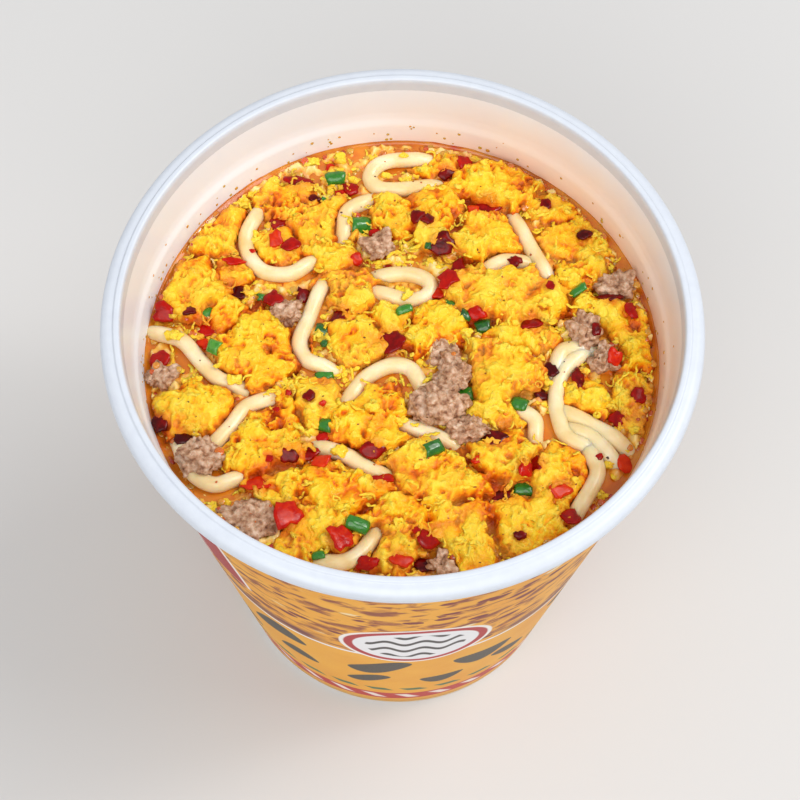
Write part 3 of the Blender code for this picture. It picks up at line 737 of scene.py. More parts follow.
def fractal(point):
    """Soft unevenness, about 0 in the middle."""
    return noise.fractal(point, 0.9, 2.1, 3)


def creased(point):
    """Hard, gritty unevenness, never below 0."""
    return noise.turbulence(point, 3, True, amplitude_scale=0.6, frequency_scale=2.1)


def folded(point):
    """Thin raised folds, as in crumpled tissue: 0 between them and about 1 along them."""
    return noise.ridged_multi_fractal(point, 0.8, 2.2, 3, 1.0, 1.8) / 2


def billowed(point):
    """Round bumps with creases between them: 1 on top and 0 in a crease."""
    nearest = noise.voronoi(point)[0][0]
    return max(0.0, 1 - (nearest / 0.85) ** 2)


steps = np.arange(-49.0, 49.0 + CELL, CELL)
grid_x, grid_y = np.meshgrid(steps, steps, indexing="ij")
shape = grid_x.shape
flat = np.stack([grid_x.ravel(), grid_y.ravel()], 1)
in_cup = np.hypot(flat[:, 0], flat[:, 1]) < wall_radius(BROTH_LEVEL) + 0.2
spots = flat[in_cup]

# The curds' outlines are torn by moving each place a little before asking which curd it lies in.
# The noise is given a seed, as its vectors would otherwise differ from run to run.
noise.seed_set(5)
torn = spots.copy()
for size, reach in ((3.2, 0.9), (1.1, 0.45)):
    shift = [noise.noise_vector(Vector((x / size, y / size, 4.2))) for x, y in spots]
    torn += np.array(shift)[:, :2] * reach

# Each place belongs to the lump that it lies nearest. The margin is how far inside its curd it
# is: a curd ends at its own reach, beside pork or a strand, and a little short of the wall.
lumps = EGG_CURDS + PORK_CRUMBS
outside = []
spare = []
for number, (x, y, half_x, half_y, _) in enumerate(lumps, 1):
    seed = number if number <= len(EGG_CURDS) else 100 + number - len(EGG_CURDS)
    draw = random.Random(seed)
    waves = [(count, draw.uniform(0, 6.28)) for count in (2, 3, 5, 8)]
    away_x, away_y = torn[:, 0] - x, torn[:, 1] - y
    length = np.hypot(away_x, away_y)
    angle = np.arctan2(away_y, away_x)
    ellipse = 1 / np.hypot(np.cos(angle) / half_x, np.sin(angle) / half_y)
    uneven = sum(0.055 * np.cos(count * angle + phase) for count, phase in waves)
    outside.append((np.hypot(away_x / half_x, away_y / half_y) - 1) * min(half_x, half_y))
    spare.append(ellipse * (FILL + uneven) - length)
outside = np.array(outside)
spare = np.array(spare)
order = np.argsort(outside, axis=0)
owner = order[0]
every = np.arange(len(spots))
nearest = outside[owner, every]
second = outside[order[1], every]
second_egg = order[1] < len(EGG_CURDS)
seam = (second - nearest - 0.15) / 1.9
margin = np.where(second_egg, 99.0, seam)
margin = np.minimum(margin, spare[owner, every] + 0.5)
margin = np.minimum(margin, wall_radius(LOOSE_TOP) - 0.9 - np.hypot(torn[:, 0], torn[:, 1]))
line = np.array([tuple(point) for points in STRANDS for point in smooth_route(points, 0.8)])
to_strand = np.full(len(spots), 99.0)
for point in line:
    to_strand = np.minimum(to_strand, np.hypot(*(torn - point).T))
margin = np.minimum(margin, to_strand - STRAND_RADIUS + 0.15)

# Each curd rises steeply from its edge to round lobes, with thin folds of skin on top. Its low
# places, at its edges, between lobes and between folds, are kept as stain and shade, which the
# material turns orange: partly broth stain, partly painted shade. High lobes and fold crests are
# kept lighter, as a painted highlight.
heights = np.array([lump[4] for lump in lumps])[owner]
rim = np.clip(margin / 1.5, 0, 1)
shoulder = np.sqrt(1 - (1 - rim) ** 2)
big = noise_at(torn, 4.4, 1.0, billowed)
small = noise_at(torn, 1.9, 2.0, billowed)
folds = noise_at(torn, 2.6, 3.0, folded)
fine = noise_at(torn, 1.2, 6.0, folded)
swell = noise_at(spots, 7.0, 5.0, fractal)
opened = noise_at(spots, 5.0, 12.0, fractal)
ruffled = np.clip(0.8 + 1.6 * noise_at(spots, 5.5, 17.0, fractal), 0.2, 1.15)
inner = np.clip(margin / 3.5, 0, 1)
joint = np.clip(seam / 1.5 + 0.12 + 1.1 * opened, 0, 1)
joint = np.sqrt(1 - (1 - joint) ** 2)
top = LOOSE_TOP - 0.6 + shoulder * (0.25 + 0.75 * joint) * (
    0.5 * heights + 0.2 * heights * inner + 0.9 * big * (0.4 + 0.6 * inner) + 0.35 * small
    + 0.9 * swell + ruffled * (1.6 * (folds - 0.5) + 1.4 * (fine - 0.5))
)
top = np.minimum(top, LOOSE_TOP + heights * 1.05)
# Stain and painted shade: more at edges, between lobes and in creases, less on high lobes; fold crests get
# less as a painted highlight.
stain_and_shade = np.clip(1.2 - shoulder * (0.64 + 0.4 * big) * (0.35 + 0.65 * joint), 0, 1)
ridge_highlight = 0.5 * (folds - 0.45) + 0.5 * (fine - 0.45)
stain_and_shade = np.clip(stain_and_shade - 1.15 * ruffled * ridge_highlight - 0.25 * swell - 0.1 * (1 - ruffled), 0, 1)


def spread(values, fill=0.0):
    """Values at the places in the cup, laid out on the whole grid again."""
    whole = np.full(len(flat), fill)
    whole[in_cup] = values
    return whole.reshape(shape)


def crust(name, owners, top, foot, stains_and_shades, tones, sway):
    """A closed solid over the grid cells whose corners share one owner, swayed sideways by noise."""
    same = (owners[:-1, :-1] == owners[1:, :-1]) & (owners[:-1, :-1] == owners[:-1, 1:])
    kept = same & (owners[:-1, :-1] == owners[1:, 1:]) & (owners[:-1, :-1] > 0)
    number = np.arange(owners.size).reshape(owners.shape)
    low = number + owners.size
    a, b, c, d = (number[:-1, :-1], number[1:, :-1], number[1:, 1:], number[:-1, 1:])
    e, f, g, h = (low[:-1, :-1], low[1:, :-1], low[1:, 1:], low[:-1, 1:])
    faces = [np.stack([a, b, c, d], -1)[kept], np.stack([h, g, f, e], -1)[kept]]
    framed = np.pad(kept, 1)
    sides = ((0, 1, (a, d, h, e)), (2, 1, (c, b, f, g)), (1, 0, (b, a, e, f)), (1, 2, (d, c, g, h)))
    for row, column, ring in sides:
        beside = framed[row:row + kept.shape[0], column:column + kept.shape[1]]
        faces.append(np.stack(ring, -1)[kept & ~beside])
    faces = np.concatenate(faces)
    used, faces = np.unique(faces, return_inverse=True)
    faces = faces.reshape(-1, 4)
    is_low = used >= owners.size
    source = used % owners.size
    xy = flat[source]
    z = np.where(is_low, foot, top.ravel()[source])
    points = np.column_stack([xy, z])
    shift = [noise.noise_vector(Vector(point) / 1.5) for point in points]
    points[:, :2] += np.array(shift)[:, :2] * sway
    thing = made_mesh(name, points, faces.tolist())
    # Each point's stain and painted shade, and its tone; the bottom points get full painted shade.
    for label, values in (("stain_and_shade", stains_and_shades), ("tone", tones)):
        layer = thing.data.attributes.new(label, "FLOAT", "POINT")
        layer.data.foreach_set("value", np.where(is_low, 1.0, values.ravel()[source]))
    return thing


draw = random.Random(11)
curd_tone = np.array([draw.uniform(0, 1) for _ in lumps])[owner]
curd_tone = np.clip(curd_tone * 0.5 + 0.25 + 0.7 * noise_at(spots, 6.0, 14.0, fractal), 0, 1)
is_egg = (owner < len(EGG_CURDS)) & (margin > 0)
owners = np.where(is_egg, 1, 0)
curds = crust(
    "egg_curds", spread(owners).astype(int), spread(top), CURD_FOOT, spread(stain_and_shade, 1.0),
    spread(curd_tone), 0.34,
)

# Scrambled egg, soaked: soft and full of tiny air cells, so light goes in and comes out warm.
# Its skin is wet, with small sharp glints. Its low places are orange, partly from broth stain and
# partly as painted shade. Its threads are drawn about 0.7 mm apart, a little coarser than real
# ones, so that they show, and their crests are painted paler as a painted highlight.
egg_finish, tree, shader = new_material(
    "scrambled_egg_soaked", IOR=1.36, Specular_IOR_Level=0.35, Roughness=0.36, Subsurface_Weight=0.3,
    Subsurface_Radius=(1.2, 0.8, 0.25), Subsurface_Scale=0.0004, Coat_Weight=0.08, Coat_Roughness=0.06,
)
place = add_node(tree, "ShaderNodeTexCoord").outputs["Object"]
stain_shade = add_node(tree, "ShaderNodeAttribute", attribute_name="stain_and_shade").outputs["Fac"]
each = add_node(tree, "ShaderNodeAttribute", attribute_name="tone").outputs["Fac"]
blotch = add_node(
    tree, "ShaderNodeTexNoise", {"Vector": place, "Scale": per_mm(3), "Detail": 5.0},
).outputs[0]
threads_and_highlights = add_node(
    tree, "ShaderNodeTexNoise",
    {"Vector": place, "Scale": per_mm(1.5), "Detail": 3.0, "Roughness": 0.6, "Distortion": 0.7},
    noise_type="RIDGED_MULTIFRACTAL", normalize=True,
).outputs[0]
mixed = add_node(
    tree, "ShaderNodeMath", {0: blotch, 1: 0.35, 2: 0.02}, operation="MULTIPLY_ADD",
).outputs[0]
# The threads lighten the colour along their crests: a painted highlight.
mixed = add_node(
    tree, "ShaderNodeMath", {0: threads_and_highlights, 1: -0.6, 2: mixed}, operation="MULTIPLY_ADD",
).outputs[0]
# Broth stain and painted shade turn the low places orange.
mixed = add_node(tree, "ShaderNodeMath", {0: stain_shade, 1: mixed}, operation="ADD").outputs[0]
yellow = add_node(
    tree, "ShaderNodeValToRGB", {0: mixed},
    stops=((0.0, "FFE254"), (0.24, "FFD02C"), (0.46, "FFB314"), (0.66, "E46E08"), (0.9, "A6400A")),
).outputs[0]
paler = add_node(tree, "ShaderNodeMapRange", {0: each, 1: 0.3, 2: 1.0, 3: 0.0, 4: 0.4}).outputs[0]
yellow = add_node(
    tree, "ShaderNodeMix", {0: paler, 6: yellow, 7: light_colour("FFD74C")}, data_type="RGBA",
).outputs[2]
oil = add_node(tree, "ShaderNodeTexNoise", {"Vector": place, "Scale": per_mm(6), "Detail": 6.0}).outputs[0]
oily = add_node(tree, "ShaderNodeMapRange", {0: oil, 1: 0.62, 2: 0.78, 3: 0.0, 4: 0.45}).outputs[0]
yellow = add_node(
    tree, "ShaderNodeMix", {0: oily, 6: yellow, 7: light_colour("F29A22")}, data_type="RGBA",
).outputs[2]
redness = add_node(tree, "ShaderNodeAttribute", attribute_name="chili_stain").outputs["Fac"]
redness = add_node(tree, "ShaderNodeMath", {0: redness, 1: oil}, operation="MULTIPLY").outputs[0]
yellow = add_node(
    tree, "ShaderNodeMix", {0: redness, 6: yellow, 7: light_colour("D8480C")}, data_type="RGBA",
).outputs[2]
tree.links.new(yellow, shader.inputs["Base Color"])
pores = add_node(
    tree, "ShaderNodeTexNoise", {"Vector": place, "Scale": per_mm(0.55), "Detail": 4.0},
).outputs[0]
rough = add_node(
    tree, "ShaderNodeMath", {0: pores, 1: 0.4, 2: threads_and_highlights}, operation="MULTIPLY_ADD",
).outputs[0]
wet = add_node(tree, "ShaderNodeMapRange", {0: pores, 1: 0.3, 2: 0.7, 3: 0.24, 4: 0.5}).outputs[0]
tree.links.new(wet, shader.inputs["Roughness"])
relief = add_node(tree, "ShaderNodeBump", {"Height": rough, "Strength": 0.9, "Distance": 0.0008})
tree.links.new(relief.outputs[0], shader.inputs["Normal"])
curds.data.materials.append(egg_finish)
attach(curds, "root")
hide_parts(*EGG_NODES)


# Between the curds the soup carries a thin crust of broken egg, fine meal and froth.
# It breaks the surface in ragged islands, with clear pools of broth left between them.
FILM_FOOT = BROTH_LEVEL - 0.75
gritty = noise_at(spots, 1.7, 8.0, billowed)
patchy = noise_at(spots, 4.0, 9.0, fractal)
fine_grit = noise_at(spots, 0.8, 10.0, creased)
film_top = BROTH_LEVEL - 0.05 + 0.9 * gritty + 1.9 * patchy - 0.45 * fine_grit
beside_strand = np.clip((to_strand - STRAND_RADIUS - 0.1) / 1.6, 0, 1)
film_top = (BROTH_LEVEL - 0.3) + (film_top - BROTH_LEVEL + 0.3) * (0.25 + 0.75 * beside_strand)
under_curd = is_egg & (margin > 0.9)
near_wall = np.hypot(spots[:, 0], spots[:, 1]) > wall_radius(BROTH_LEVEL) - 0.9
film_there = ~under_curd & ~near_wall & (film_top > BROTH_LEVEL - 0.6)
# Stain and painted shade: lower down and between its grains the crust turns orange.
film_stain_and_shade = np.clip(0.85 - 0.55 * gritty - 0.35 * (film_top - BROTH_LEVEL), 0, 1)
film = crust(
    "egg_crust", spread(film_there).astype(int), spread(film_top), FILM_FOOT, spread(film_stain_and_shade, 1.0),
    spread(np.full(len(spots), 0.9)), 0.3,
)

# Fine meal of egg and froth, soaked: paler and duller than the curds, as it holds more air,
# and orange in its hollows, partly where the broth comes through and partly as painted shade.
crust_finish, tree, shader = new_material(
    "egg_meal_soaked", IOR=1.38, Roughness=0.3, Subsurface_Weight=0.3,
    Subsurface_Radius=(1.4, 0.9, 0.3), Subsurface_Scale=0.0008, Coat_Weight=0.4, Coat_Roughness=0.1,
)
place = add_node(tree, "ShaderNodeTexCoord").outputs["Object"]
stain_shade = add_node(tree, "ShaderNodeAttribute", attribute_name="stain_and_shade").outputs["Fac"]
blotch = add_node(
    tree, "ShaderNodeTexNoise", {"Vector": place, "Scale": per_mm(2), "Detail": 6.0},
).outputs[0]
mixed = add_node(tree, "ShaderNodeMath", {0: blotch, 1: 0.9, 2: -0.45}, operation="MULTIPLY_ADD").outputs[0]
mixed = add_node(tree, "ShaderNodeMath", {0: stain_shade, 1: mixed}, operation="ADD").outputs[0]
meal = add_node(
    tree, "ShaderNodeValToRGB", {0: mixed},
    stops=((0.0, "FFE092"), (0.3, "FCC456"), (0.55, "F09E30"), (0.78, "D97418"), (1.0, "B85210")),
).outputs[0]
redness = add_node(tree, "ShaderNodeAttribute", attribute_name="chili_stain").outputs["Fac"]
redness = add_node(tree, "ShaderNodeMath", {0: redness, 1: 0.7}, operation="MULTIPLY").outputs[0]
meal = add_node(
    tree, "ShaderNodeMix", {0: redness, 6: meal, 7: light_colour("D24A0E")}, data_type="RGBA",
).outputs[2]
tree.links.new(meal, shader.inputs["Base Color"])
pores = add_node(
    tree, "ShaderNodeTexNoise", {"Vector": place, "Scale": per_mm(0.5), "Detail": 4.0},
).outputs[0]
relief = add_node(tree, "ShaderNodeBump", {"Height": pores, "Strength": 0.5, "Distance": 0.0002})
tree.links.new(relief.outputs[0], shader.inputs["Normal"])
film.data.materials.append(crust_finish)
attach(film, "root")


# Crumbs are bits of the same scrambled egg that broke off the curds when the cup was stirred.
# They lie loose between the curds and on them, and are one to three millimetres across.
CRUMB_COUNT = 300
CRUMB_CEILING = 109


def ball(level):
    """Points and faces of a sphere of even triangles, as a start for a small lump."""
    mesh = bpy.data.meshes.new("ball")
    shape = bmesh.new()
    bmesh.ops.create_icosphere(shape, subdivisions=level, radius=1)
    shape.to_mesh(mesh)
    shape.free()
    points = [vertex.co.copy() for vertex in mesh.vertices]
    faces = [tuple(face.vertices) for face in mesh.polygons]
    bpy.data.meshes.remove(mesh)
    return points, faces


def lay(place, half, points, draw, bump, size, round_grain=0.9):
    """A lump's points from a sphere's: turned, stretched to its half sizes and made uneven."""
    turn = Quaternion((draw.gauss(0, 1), draw.gauss(0, 1), draw.gauss(0, 1), draw.gauss(0, 1))).normalized()
    seed = Vector((draw.uniform(0, 90), draw.uniform(0, 90), draw.uniform(0, 90)))
    laid = []
    for point in points:
        way = turn @ point
        spot = Vector((way.x * half[0], way.y * half[1], way.z * half[2]))
        wave = noise.fractal(spot / size + seed, 0.8, 2.1, 3)
        dent = billowed(spot / (size * 1.4) + seed) - 0.5
        laid.append(place + spot + way * bump * (wave + round_grain * dent))
    return laid


def surface_tree(*things):
    """What lies uppermost, to set small things on."""
    points = []
    faces = []
    for thing in things:
        start = len(points)
        points.extend(vertex.co / MM for vertex in thing.data.vertices)
        faces.extend([corner + start for corner in face.vertices] for face in thing.data.polygons)
    return BVHTree.FromPolygons(points, faces)


def drop_to(tree, x, y):
    """Where a thing let fall at (x, y) lands, and which way that surface faces."""
    place, normal, _, _ = tree.ray_cast(Vector((x, y, CUP_HEIGHT)), Vector((0, 0, -1)))
    if normal.z < 0:
        normal = -normal
    return place, normal


ground = surface_tree(broth, noodles, curds, film)
crumb_heap = Heap()
ball_points, ball_faces = ball(3)
draw = random.Random(23)
open_spots = spots[(margin < 0.6) & (to_strand > STRAND_RADIUS + 0.9) & ~near_wall]
for _ in range(CRUMB_COUNT):
    if draw.random() < 0.75:
        x, y = open_spots[draw.randrange(len(open_spots))]
    else:
        x, y = spots[draw.randrange(len(spots))]
    if math.hypot(x, y) > wall_radius(BROTH_LEVEL) - 1.6:
        continue
    size = draw.triangular(0.4, 1.3, 0.6)
    half = (size * draw.uniform(0.8, 1.5), size * draw.uniform(0.6, 1.0), size * draw.uniform(0.3, 0.6))
    place, _ = drop_to(ground, x, y)
    place.z += half[2] * 0.1
    if place.z > CRUMB_CEILING:
        continue
    crumb_heap.add(lay(place, half, ball_points, draw, 0.7 * size, 0.8), ball_faces, draw.uniform(0.1, 0.9))
crumbs = crumb_heap.piece("egg_crumbs", egg_finish)


# Shreds are thin ribbons of egg, torn off the curds' skin as it softened in the hot water.
# They cling to the curds' edges and drift in the gaps, and curl up where they are loose.
SHRED_COUNT = 620
SHRED_THICKNESS = 0.16
SHRED_CEILING = 108.6


def shred(place, normal, length, width, draw):
    """A thin ribbon that winds and curls, closed all round, and pointed at both ends."""
    turn = Vector((0, 0, 1)).rotation_difference(normal).to_matrix()
    heading = draw.uniform(0, 6.28)
    veer = draw.gauss(0, 0.22)
    rows = 11
    walk = Vector((0, 0, 0))
    points = []
    for row in range(rows + 1):
        share = row / rows
        across = Vector((-math.sin(heading), math.cos(heading), 0))
        half = width / 2 * math.sin(math.pi * (0.08 + 0.84 * share)) ** 0.6
        wave = noise.noise(walk * 1.3 + place)
        for side, face in ((1, 1), (-1, 1), (-1, -1), (1, -1)):
            lift = face * SHRED_THICKNESS / 2 + 0.45 * wave
            lift += 0.3 * side * half * math.sin(row * 0.9 + veer * 9)
            points.append(place + turn @ (walk + across * side * half + Vector((0, 0, lift))))
        walk = walk + Vector((math.cos(heading), math.sin(heading), 0)) * length / rows
        heading += veer + draw.gauss(0, 0.25)
    faces = []
    for row in range(rows):
        for corner in range(4):
            near = row * 4 + corner
            beside = row * 4 + (corner + 1) % 4
            faces.append((near, beside, beside + 4, near + 4))
    faces.append((3, 2, 1, 0))
    faces.append(tuple(rows * 4 + corner for corner in range(4)))
    return points, faces


shred_heap = Heap()
draw = random.Random(29)
torn_edge = spots[(margin > -0.9) & (margin < 1.2) & (to_strand > STRAND_RADIUS + 0.5) & ~near_wall]
creases = spots[is_egg & (seam < 1.3) & (to_strand > STRAND_RADIUS + 1.0) & ~near_wall]
for index in range(SHRED_COUNT):
    source = (torn_edge, creases, open_spots)[index % 3]
    x, y = source[draw.randrange(len(source))]
    if math.hypot(x, y) > wall_radius(BROTH_LEVEL) - 2.2:
        continue
    place, normal = drop_to(ground, x, y)
    normal = normal.lerp(Vector((0, 0, 1)), 0.4).normalized()
    place += normal * 0.12
    if place.z > SHRED_CEILING:
        continue
    size = draw.triangular(1.6, 4.2, 2.4)
    shred_heap.add(*shred(place, normal, size, draw.uniform(0.35, 0.85), draw), draw.uniform(0.2, 1.0))
shreds = shred_heap.piece("egg_shreds", egg_finish)


# The pork is minced, cooked and dried, then soaked: firm crumbs made of short clenched grains.
# The crumbs stand among the curds, loose on the noodles and broth, alone or a few together.
PORK_BUMP = 1.5
pork_heap = Heap()
ball_points, ball_faces = ball(5)
draw = random.Random(31)
for x, y, half_x, half_y, height in PORK_CRUMBS:
    half = Vector((half_x * 1.12, half_y * 1.12, height * 0.62))
    place = Vector((x, y, LOOSE_TOP + height - half.z - 0.2))
    pork_heap.add(lay(place, half, ball_points, draw, PORK_BUMP, 2.1, 0.35), ball_faces, draw.uniform(0, 1))

# Minced pork, cooked: dull pinkish brown grains with darker creases and a slight wet gloss,
# that set the meat apart from the bright egg.
pork_finish, tree, shader = new_material(
    "minced_pork_cooked", IOR=1.42, Roughness=0.48, Subsurface_Weight=0.2,
    Subsurface_Radius=(1.4, 0.6, 0.4), Subsurface_Scale=0.0007, Coat_Weight=0.2, Coat_Roughness=0.2,
)
place = add_node(tree, "ShaderNodeTexCoord").outputs["Object"]
grain = add_node(
    tree, "ShaderNodeTexNoise", {"Vector": place, "Scale": per_mm(1.1), "Detail": 6.0},
).outputs[0]
meat = add_node(
    tree, "ShaderNodeValToRGB", {0: grain},
    stops=((0.3, "744830"), (0.42, "AE7F5E"), (0.55, "CDA586"), (0.7, "E6C8AE")),
).outputs[0]
tree.links.new(meat, shader.inputs["Base Color"])
fibre = add_node(
    tree, "ShaderNodeTexNoise", {"Vector": place, "Scale": per_mm(0.45), "Detail": 5.0},
).outputs[0]
relief = add_node(tree, "ShaderNodeBump", {"Height": fibre, "Strength": 0.8, "Distance": 0.0004})
tree.links.new(relief.outputs[0], shader.inputs["Normal"])
pork = pork_heap.piece("pork_crumbs", pork_finish)
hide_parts(*PORK_NODES)


# The chili is red chili flesh and skin, chopped in bits one to five millimetres long.
# The bits lie on whatever carries them and are wet with red oil.
CHILI_THICKNESS = 0.75
CHILI_SPREAD = 1.3
CHILI_RINGS = ((0.35, 1.0), (0.7, 0.92), (0.92, 0.62), (1.0, 0.1))

# The middle (x, y), the length along x and the width along y of each bit.
CHILI_BITS = (
    (-45.5, 7, 3.2, 3.2), (-45.5, -3, 3.2, 3.2), (-37, 4.3, 3.8, 2.4), (-37.5, 1.5, 2.2, 2),
    (-40.5, 6.8, 2, 1.8), (-32, 12.5, 2.8, 2.4), (-33, 18.8, 3, 1.4), (-25, 28, 2.8, 2.4),
    (-25, 23.5, 2, 3), (-22, 22.3, 3, 2.4), (-24.8, 10.4, 3, 2.6), (-19.5, 12.3, 1.8, 3),
    (-12, 7.6, 3, 2.8), (-5.8, 26.5, 1.8, 1.8), (-9.3, 20.3, 1.8, 2.2), (-21, 37.6, 4.4, 2.8),
    (-15, 41.8, 1.8, 1.6), (-11, 36.8, 2.6, 2.4), (-13, 35, 2.2, 2), (-18, 33.6, 1.8, 1.4),
    (-2, 1.8, 4.4, 3.6), (2.3, 28.8, 2.4, 2.2), (4.3, 28, 2, 2.2), (7.3, 23.3, 3.8, 3.6),
    (10.5, 18, 2.6, 4), (8.5, 15, 3.6, 3), (6.5, 13.3, 2.6, 2.2), (11.5, 43.5, 2.8, 2.6),
    (8, 40.8, 2.6, 2), (16, 32.6, 4, 2.6), (13.3, 31.4, 2, 1.6), (27.6, 33.3, 1.8, 1.8),
    (35, 26.5, 2.4, 1.8), (21.5, 20.3, 2.4, 1.5), (24.5, 6, 3.2, 2.6), (28, 13.6, 1.4, 1.6),
    (39.5, 12.3, 3.6, 2.2), (43.3, 9.5, 2.2, 3), (36.5, 4.7, 1.6, 2.2), (39.7, -1.5, 2.6, 2.4),
    (28, -3.2, 2.4, 2.2), (33, -4.8, 2.2, 3.4), (26.2, -8, 2.6, 1.8), (44.2, -8.4, 2.4, 2.4),
    (40.2, -13, 2.6, 2.2), (14, 7.8, 3, 1.9), (-5, -20.8, 3.4, 2.8), (-17, -21, 3, 2.8),
    (-20.3, -22.5, 3, 2.2), (-14.2, -23.8, 2.6, 2.4), (-17, -10.8, 1.8, 1.8), (-14.3, -18, 2, 1.8),
    (-44.3, -16.3, 2.4, 2.8), (-40, -19.3, 3.2, 2.2), (-26, -28, 4.6, 2.4), (-20, -34.5, 4.4, 4),
    (-10.2, -38.7, 4, 3.4), (-3, -26.8, 3.8, 1.6), (-5.3, -43, 3.6, 2), (5.2, -38.7, 3.2, 3),
    (5, -42.6, 3.2, 2.2), (0.7, -42.8, 3.4, 1.8), (18.8, -28.8, 3, 2.2), (25, -23, 2.6, 2.4),
    (22.8, -24.8, 2.6, 2.2), (17.5, -17.8, 3.6, 2.4), (29.2, -28.3, 3.4, 2.2), (31, -33.5, 3, 3),
    (41.3, -21.8, 2.8, 3), (21.8, -37.5, 1.8, 1.4),
    (-29.5, 21.3, 0.9, 0.8), (-23.8, -23.3, 1.4, 1.1), (-23, -13, 1, 0.8), (-14.5, -12.2, 1.1, 0.9),
    (-21, -9.3, 1, 0.9), (36.6, -21.2, 1.2, 1), (-3, 19, 1.2, 0.8), (14, -23, 1.5, 1.2),
    (3.3, -37, 1.2, 1),
)


def flake(place, normal, length, width, thickness, draw):
    """A thin, slightly bent bit with an uneven outline and rounded edges."""
    sides = 16
    turn = Vector((0, 0, 1)).rotation_difference(normal).to_matrix()
    waves = [(count, draw.uniform(0, 6.28), draw.uniform(0.05, 0.13)) for count in (2, 3, 4, 6)]
    bend = draw.uniform(-0.12, 0.16)
    points = []
    for face in (1, -1):
        rings = CHILI_RINGS if face > 0 else reversed(CHILI_RINGS[:-1])
        for share, rise in rings:
            for side in range(sides):
                angle = 2 * math.pi * side / sides
                uneven = 1 + sum(high * math.cos(count * angle + phase) for count, phase, high in waves)
                x = length / 2 * share * uneven * math.cos(angle)
                y = width / 2 * share * uneven * math.sin(angle)
                z = face * rise * thickness / 2 + bend * (x * x - y * y) / max(length, width)
                points.append(place + turn @ Vector((x, y, z)))
    count = len(points) // sides
    faces = []
    for ring in range(count - 1):
        for side in range(sides):
            after = (side + 1) % sides
            near = (ring * sides + side, ring * sides + after)
            far = ((ring + 1) * sides + after, (ring + 1) * sides + side)
            faces.append((near[0], far[1], far[0], near[1]))
    faces.append(tuple(range(sides)))
    faces.append(tuple(reversed(range((count - 1) * sides, count * sides))))
    return points, faces


def off_wall(x, y, room):
    """The place (x, y), moved inwards where it leaves less room than this before the wall."""
    reach = math.hypot(x, y)
    limit = wall_radius(BROTH_LEVEL) - room
    if reach > limit:
        x, y = x * limit / reach, y * limit / reach
    return x, y


ground = surface_tree(broth, noodles, curds, film, pork)
chili_heap = Heap()
draw = random.Random(41)
for x, y, length, width in CHILI_BITS:
    x, y = off_wall(x, y, max(length, width) * 0.5)
    place, normal = drop_to(ground, x, y)
    around = [drop_to(ground, x + dx, y + dy)[0].z for dx, dy in ((0.8, 0), (-0.8, 0), (0, 0.8), (0, -0.8))]
    place.z = max(place.z, sum(around) / 4)
    normal = normal.lerp(Vector((0, 0, 1)), 0.55).normalized()
    thickness = CHILI_THICKNESS * min(1, max(length, width) / 2)
    place += normal * thickness * 0.3
    length, width = length * CHILI_SPREAD, width * CHILI_SPREAD
    chili_heap.add(*flake(place, normal, length, width, thickness, draw), draw.uniform(0, 1))

# Red chili, chopped: flesh that light shines through at its edges, dark and red in the middle,
# under a wet coat of oil that gives small white glints.
chili_finish, tree, shader = new_material(
    "red_chili_chopped", IOR=1.35, Specular_IOR_Level=0.3, Roughness=0.13, Subsurface_Weight=0.15,
    Subsurface_Radius=(2.2, 0.25, 0.1), Subsurface_Scale=0.0009, Coat_Weight=0.1, Coat_Roughness=0.03,
)
place = add_node(tree, "ShaderNodeTexCoord").outputs["Object"]
each = add_node(tree, "ShaderNodeAttribute", attribute_name="tone").outputs["Fac"]
flesh = add_node(
    tree, "ShaderNodeTexNoise", {"Vector": place, "Scale": per_mm(1.3), "Detail": 4.0},
).outputs[0]
mixed = add_node(tree, "ShaderNodeMath", {0: flesh, 1: 0.8, 2: -0.4}, operation="MULTIPLY_ADD").outputs[0]
mixed = add_node(tree, "ShaderNodeMath", {0: each, 1: mixed}, operation="ADD").outputs[0]
red = add_node(
    tree, "ShaderNodeValToRGB", {0: mixed},
    stops=((0.05, "440101"), (0.4, "880703"), (0.75, "B81204"), (1.0, "D63608")),
).outputs[0]
tree.links.new(red, shader.inputs["Base Color"])
relief = add_node(tree, "ShaderNodeBump", {"Height": flesh, "Strength": 0.5, "Distance": 0.0003})
tree.links.new(relief.outputs[0], shader.inputs["Normal"])
chili = chili_heap.piece("chili_bits", chili_finish)

# Red oil has run out of each bit of chili into the egg round it.
for thing in (curds, film, crumbs, shreds):
    places = np.array([tuple(vertex.co / MM) for vertex in thing.data.vertices])
    stain = np.zeros(len(places))
    for x, y, length, width in CHILI_BITS:
        past = np.hypot(places[:, 0] - x, places[:, 1] - y) - (length + width) / 4
        stain = np.maximum(stain, np.clip(1 - past / (0.6 + 0.3 * length), 0, 1))
    layer = thing.data.attributes.new("chili_stain", "FLOAT", "POINT")
    layer.data.foreach_set("value", stain)


# The spring onion is the green of the leaf, sliced across into curled strips and half rings.
# The slices were dried and soaked again, and lie wet on whatever carries them.
LEAF_THICKNESS = 0.6

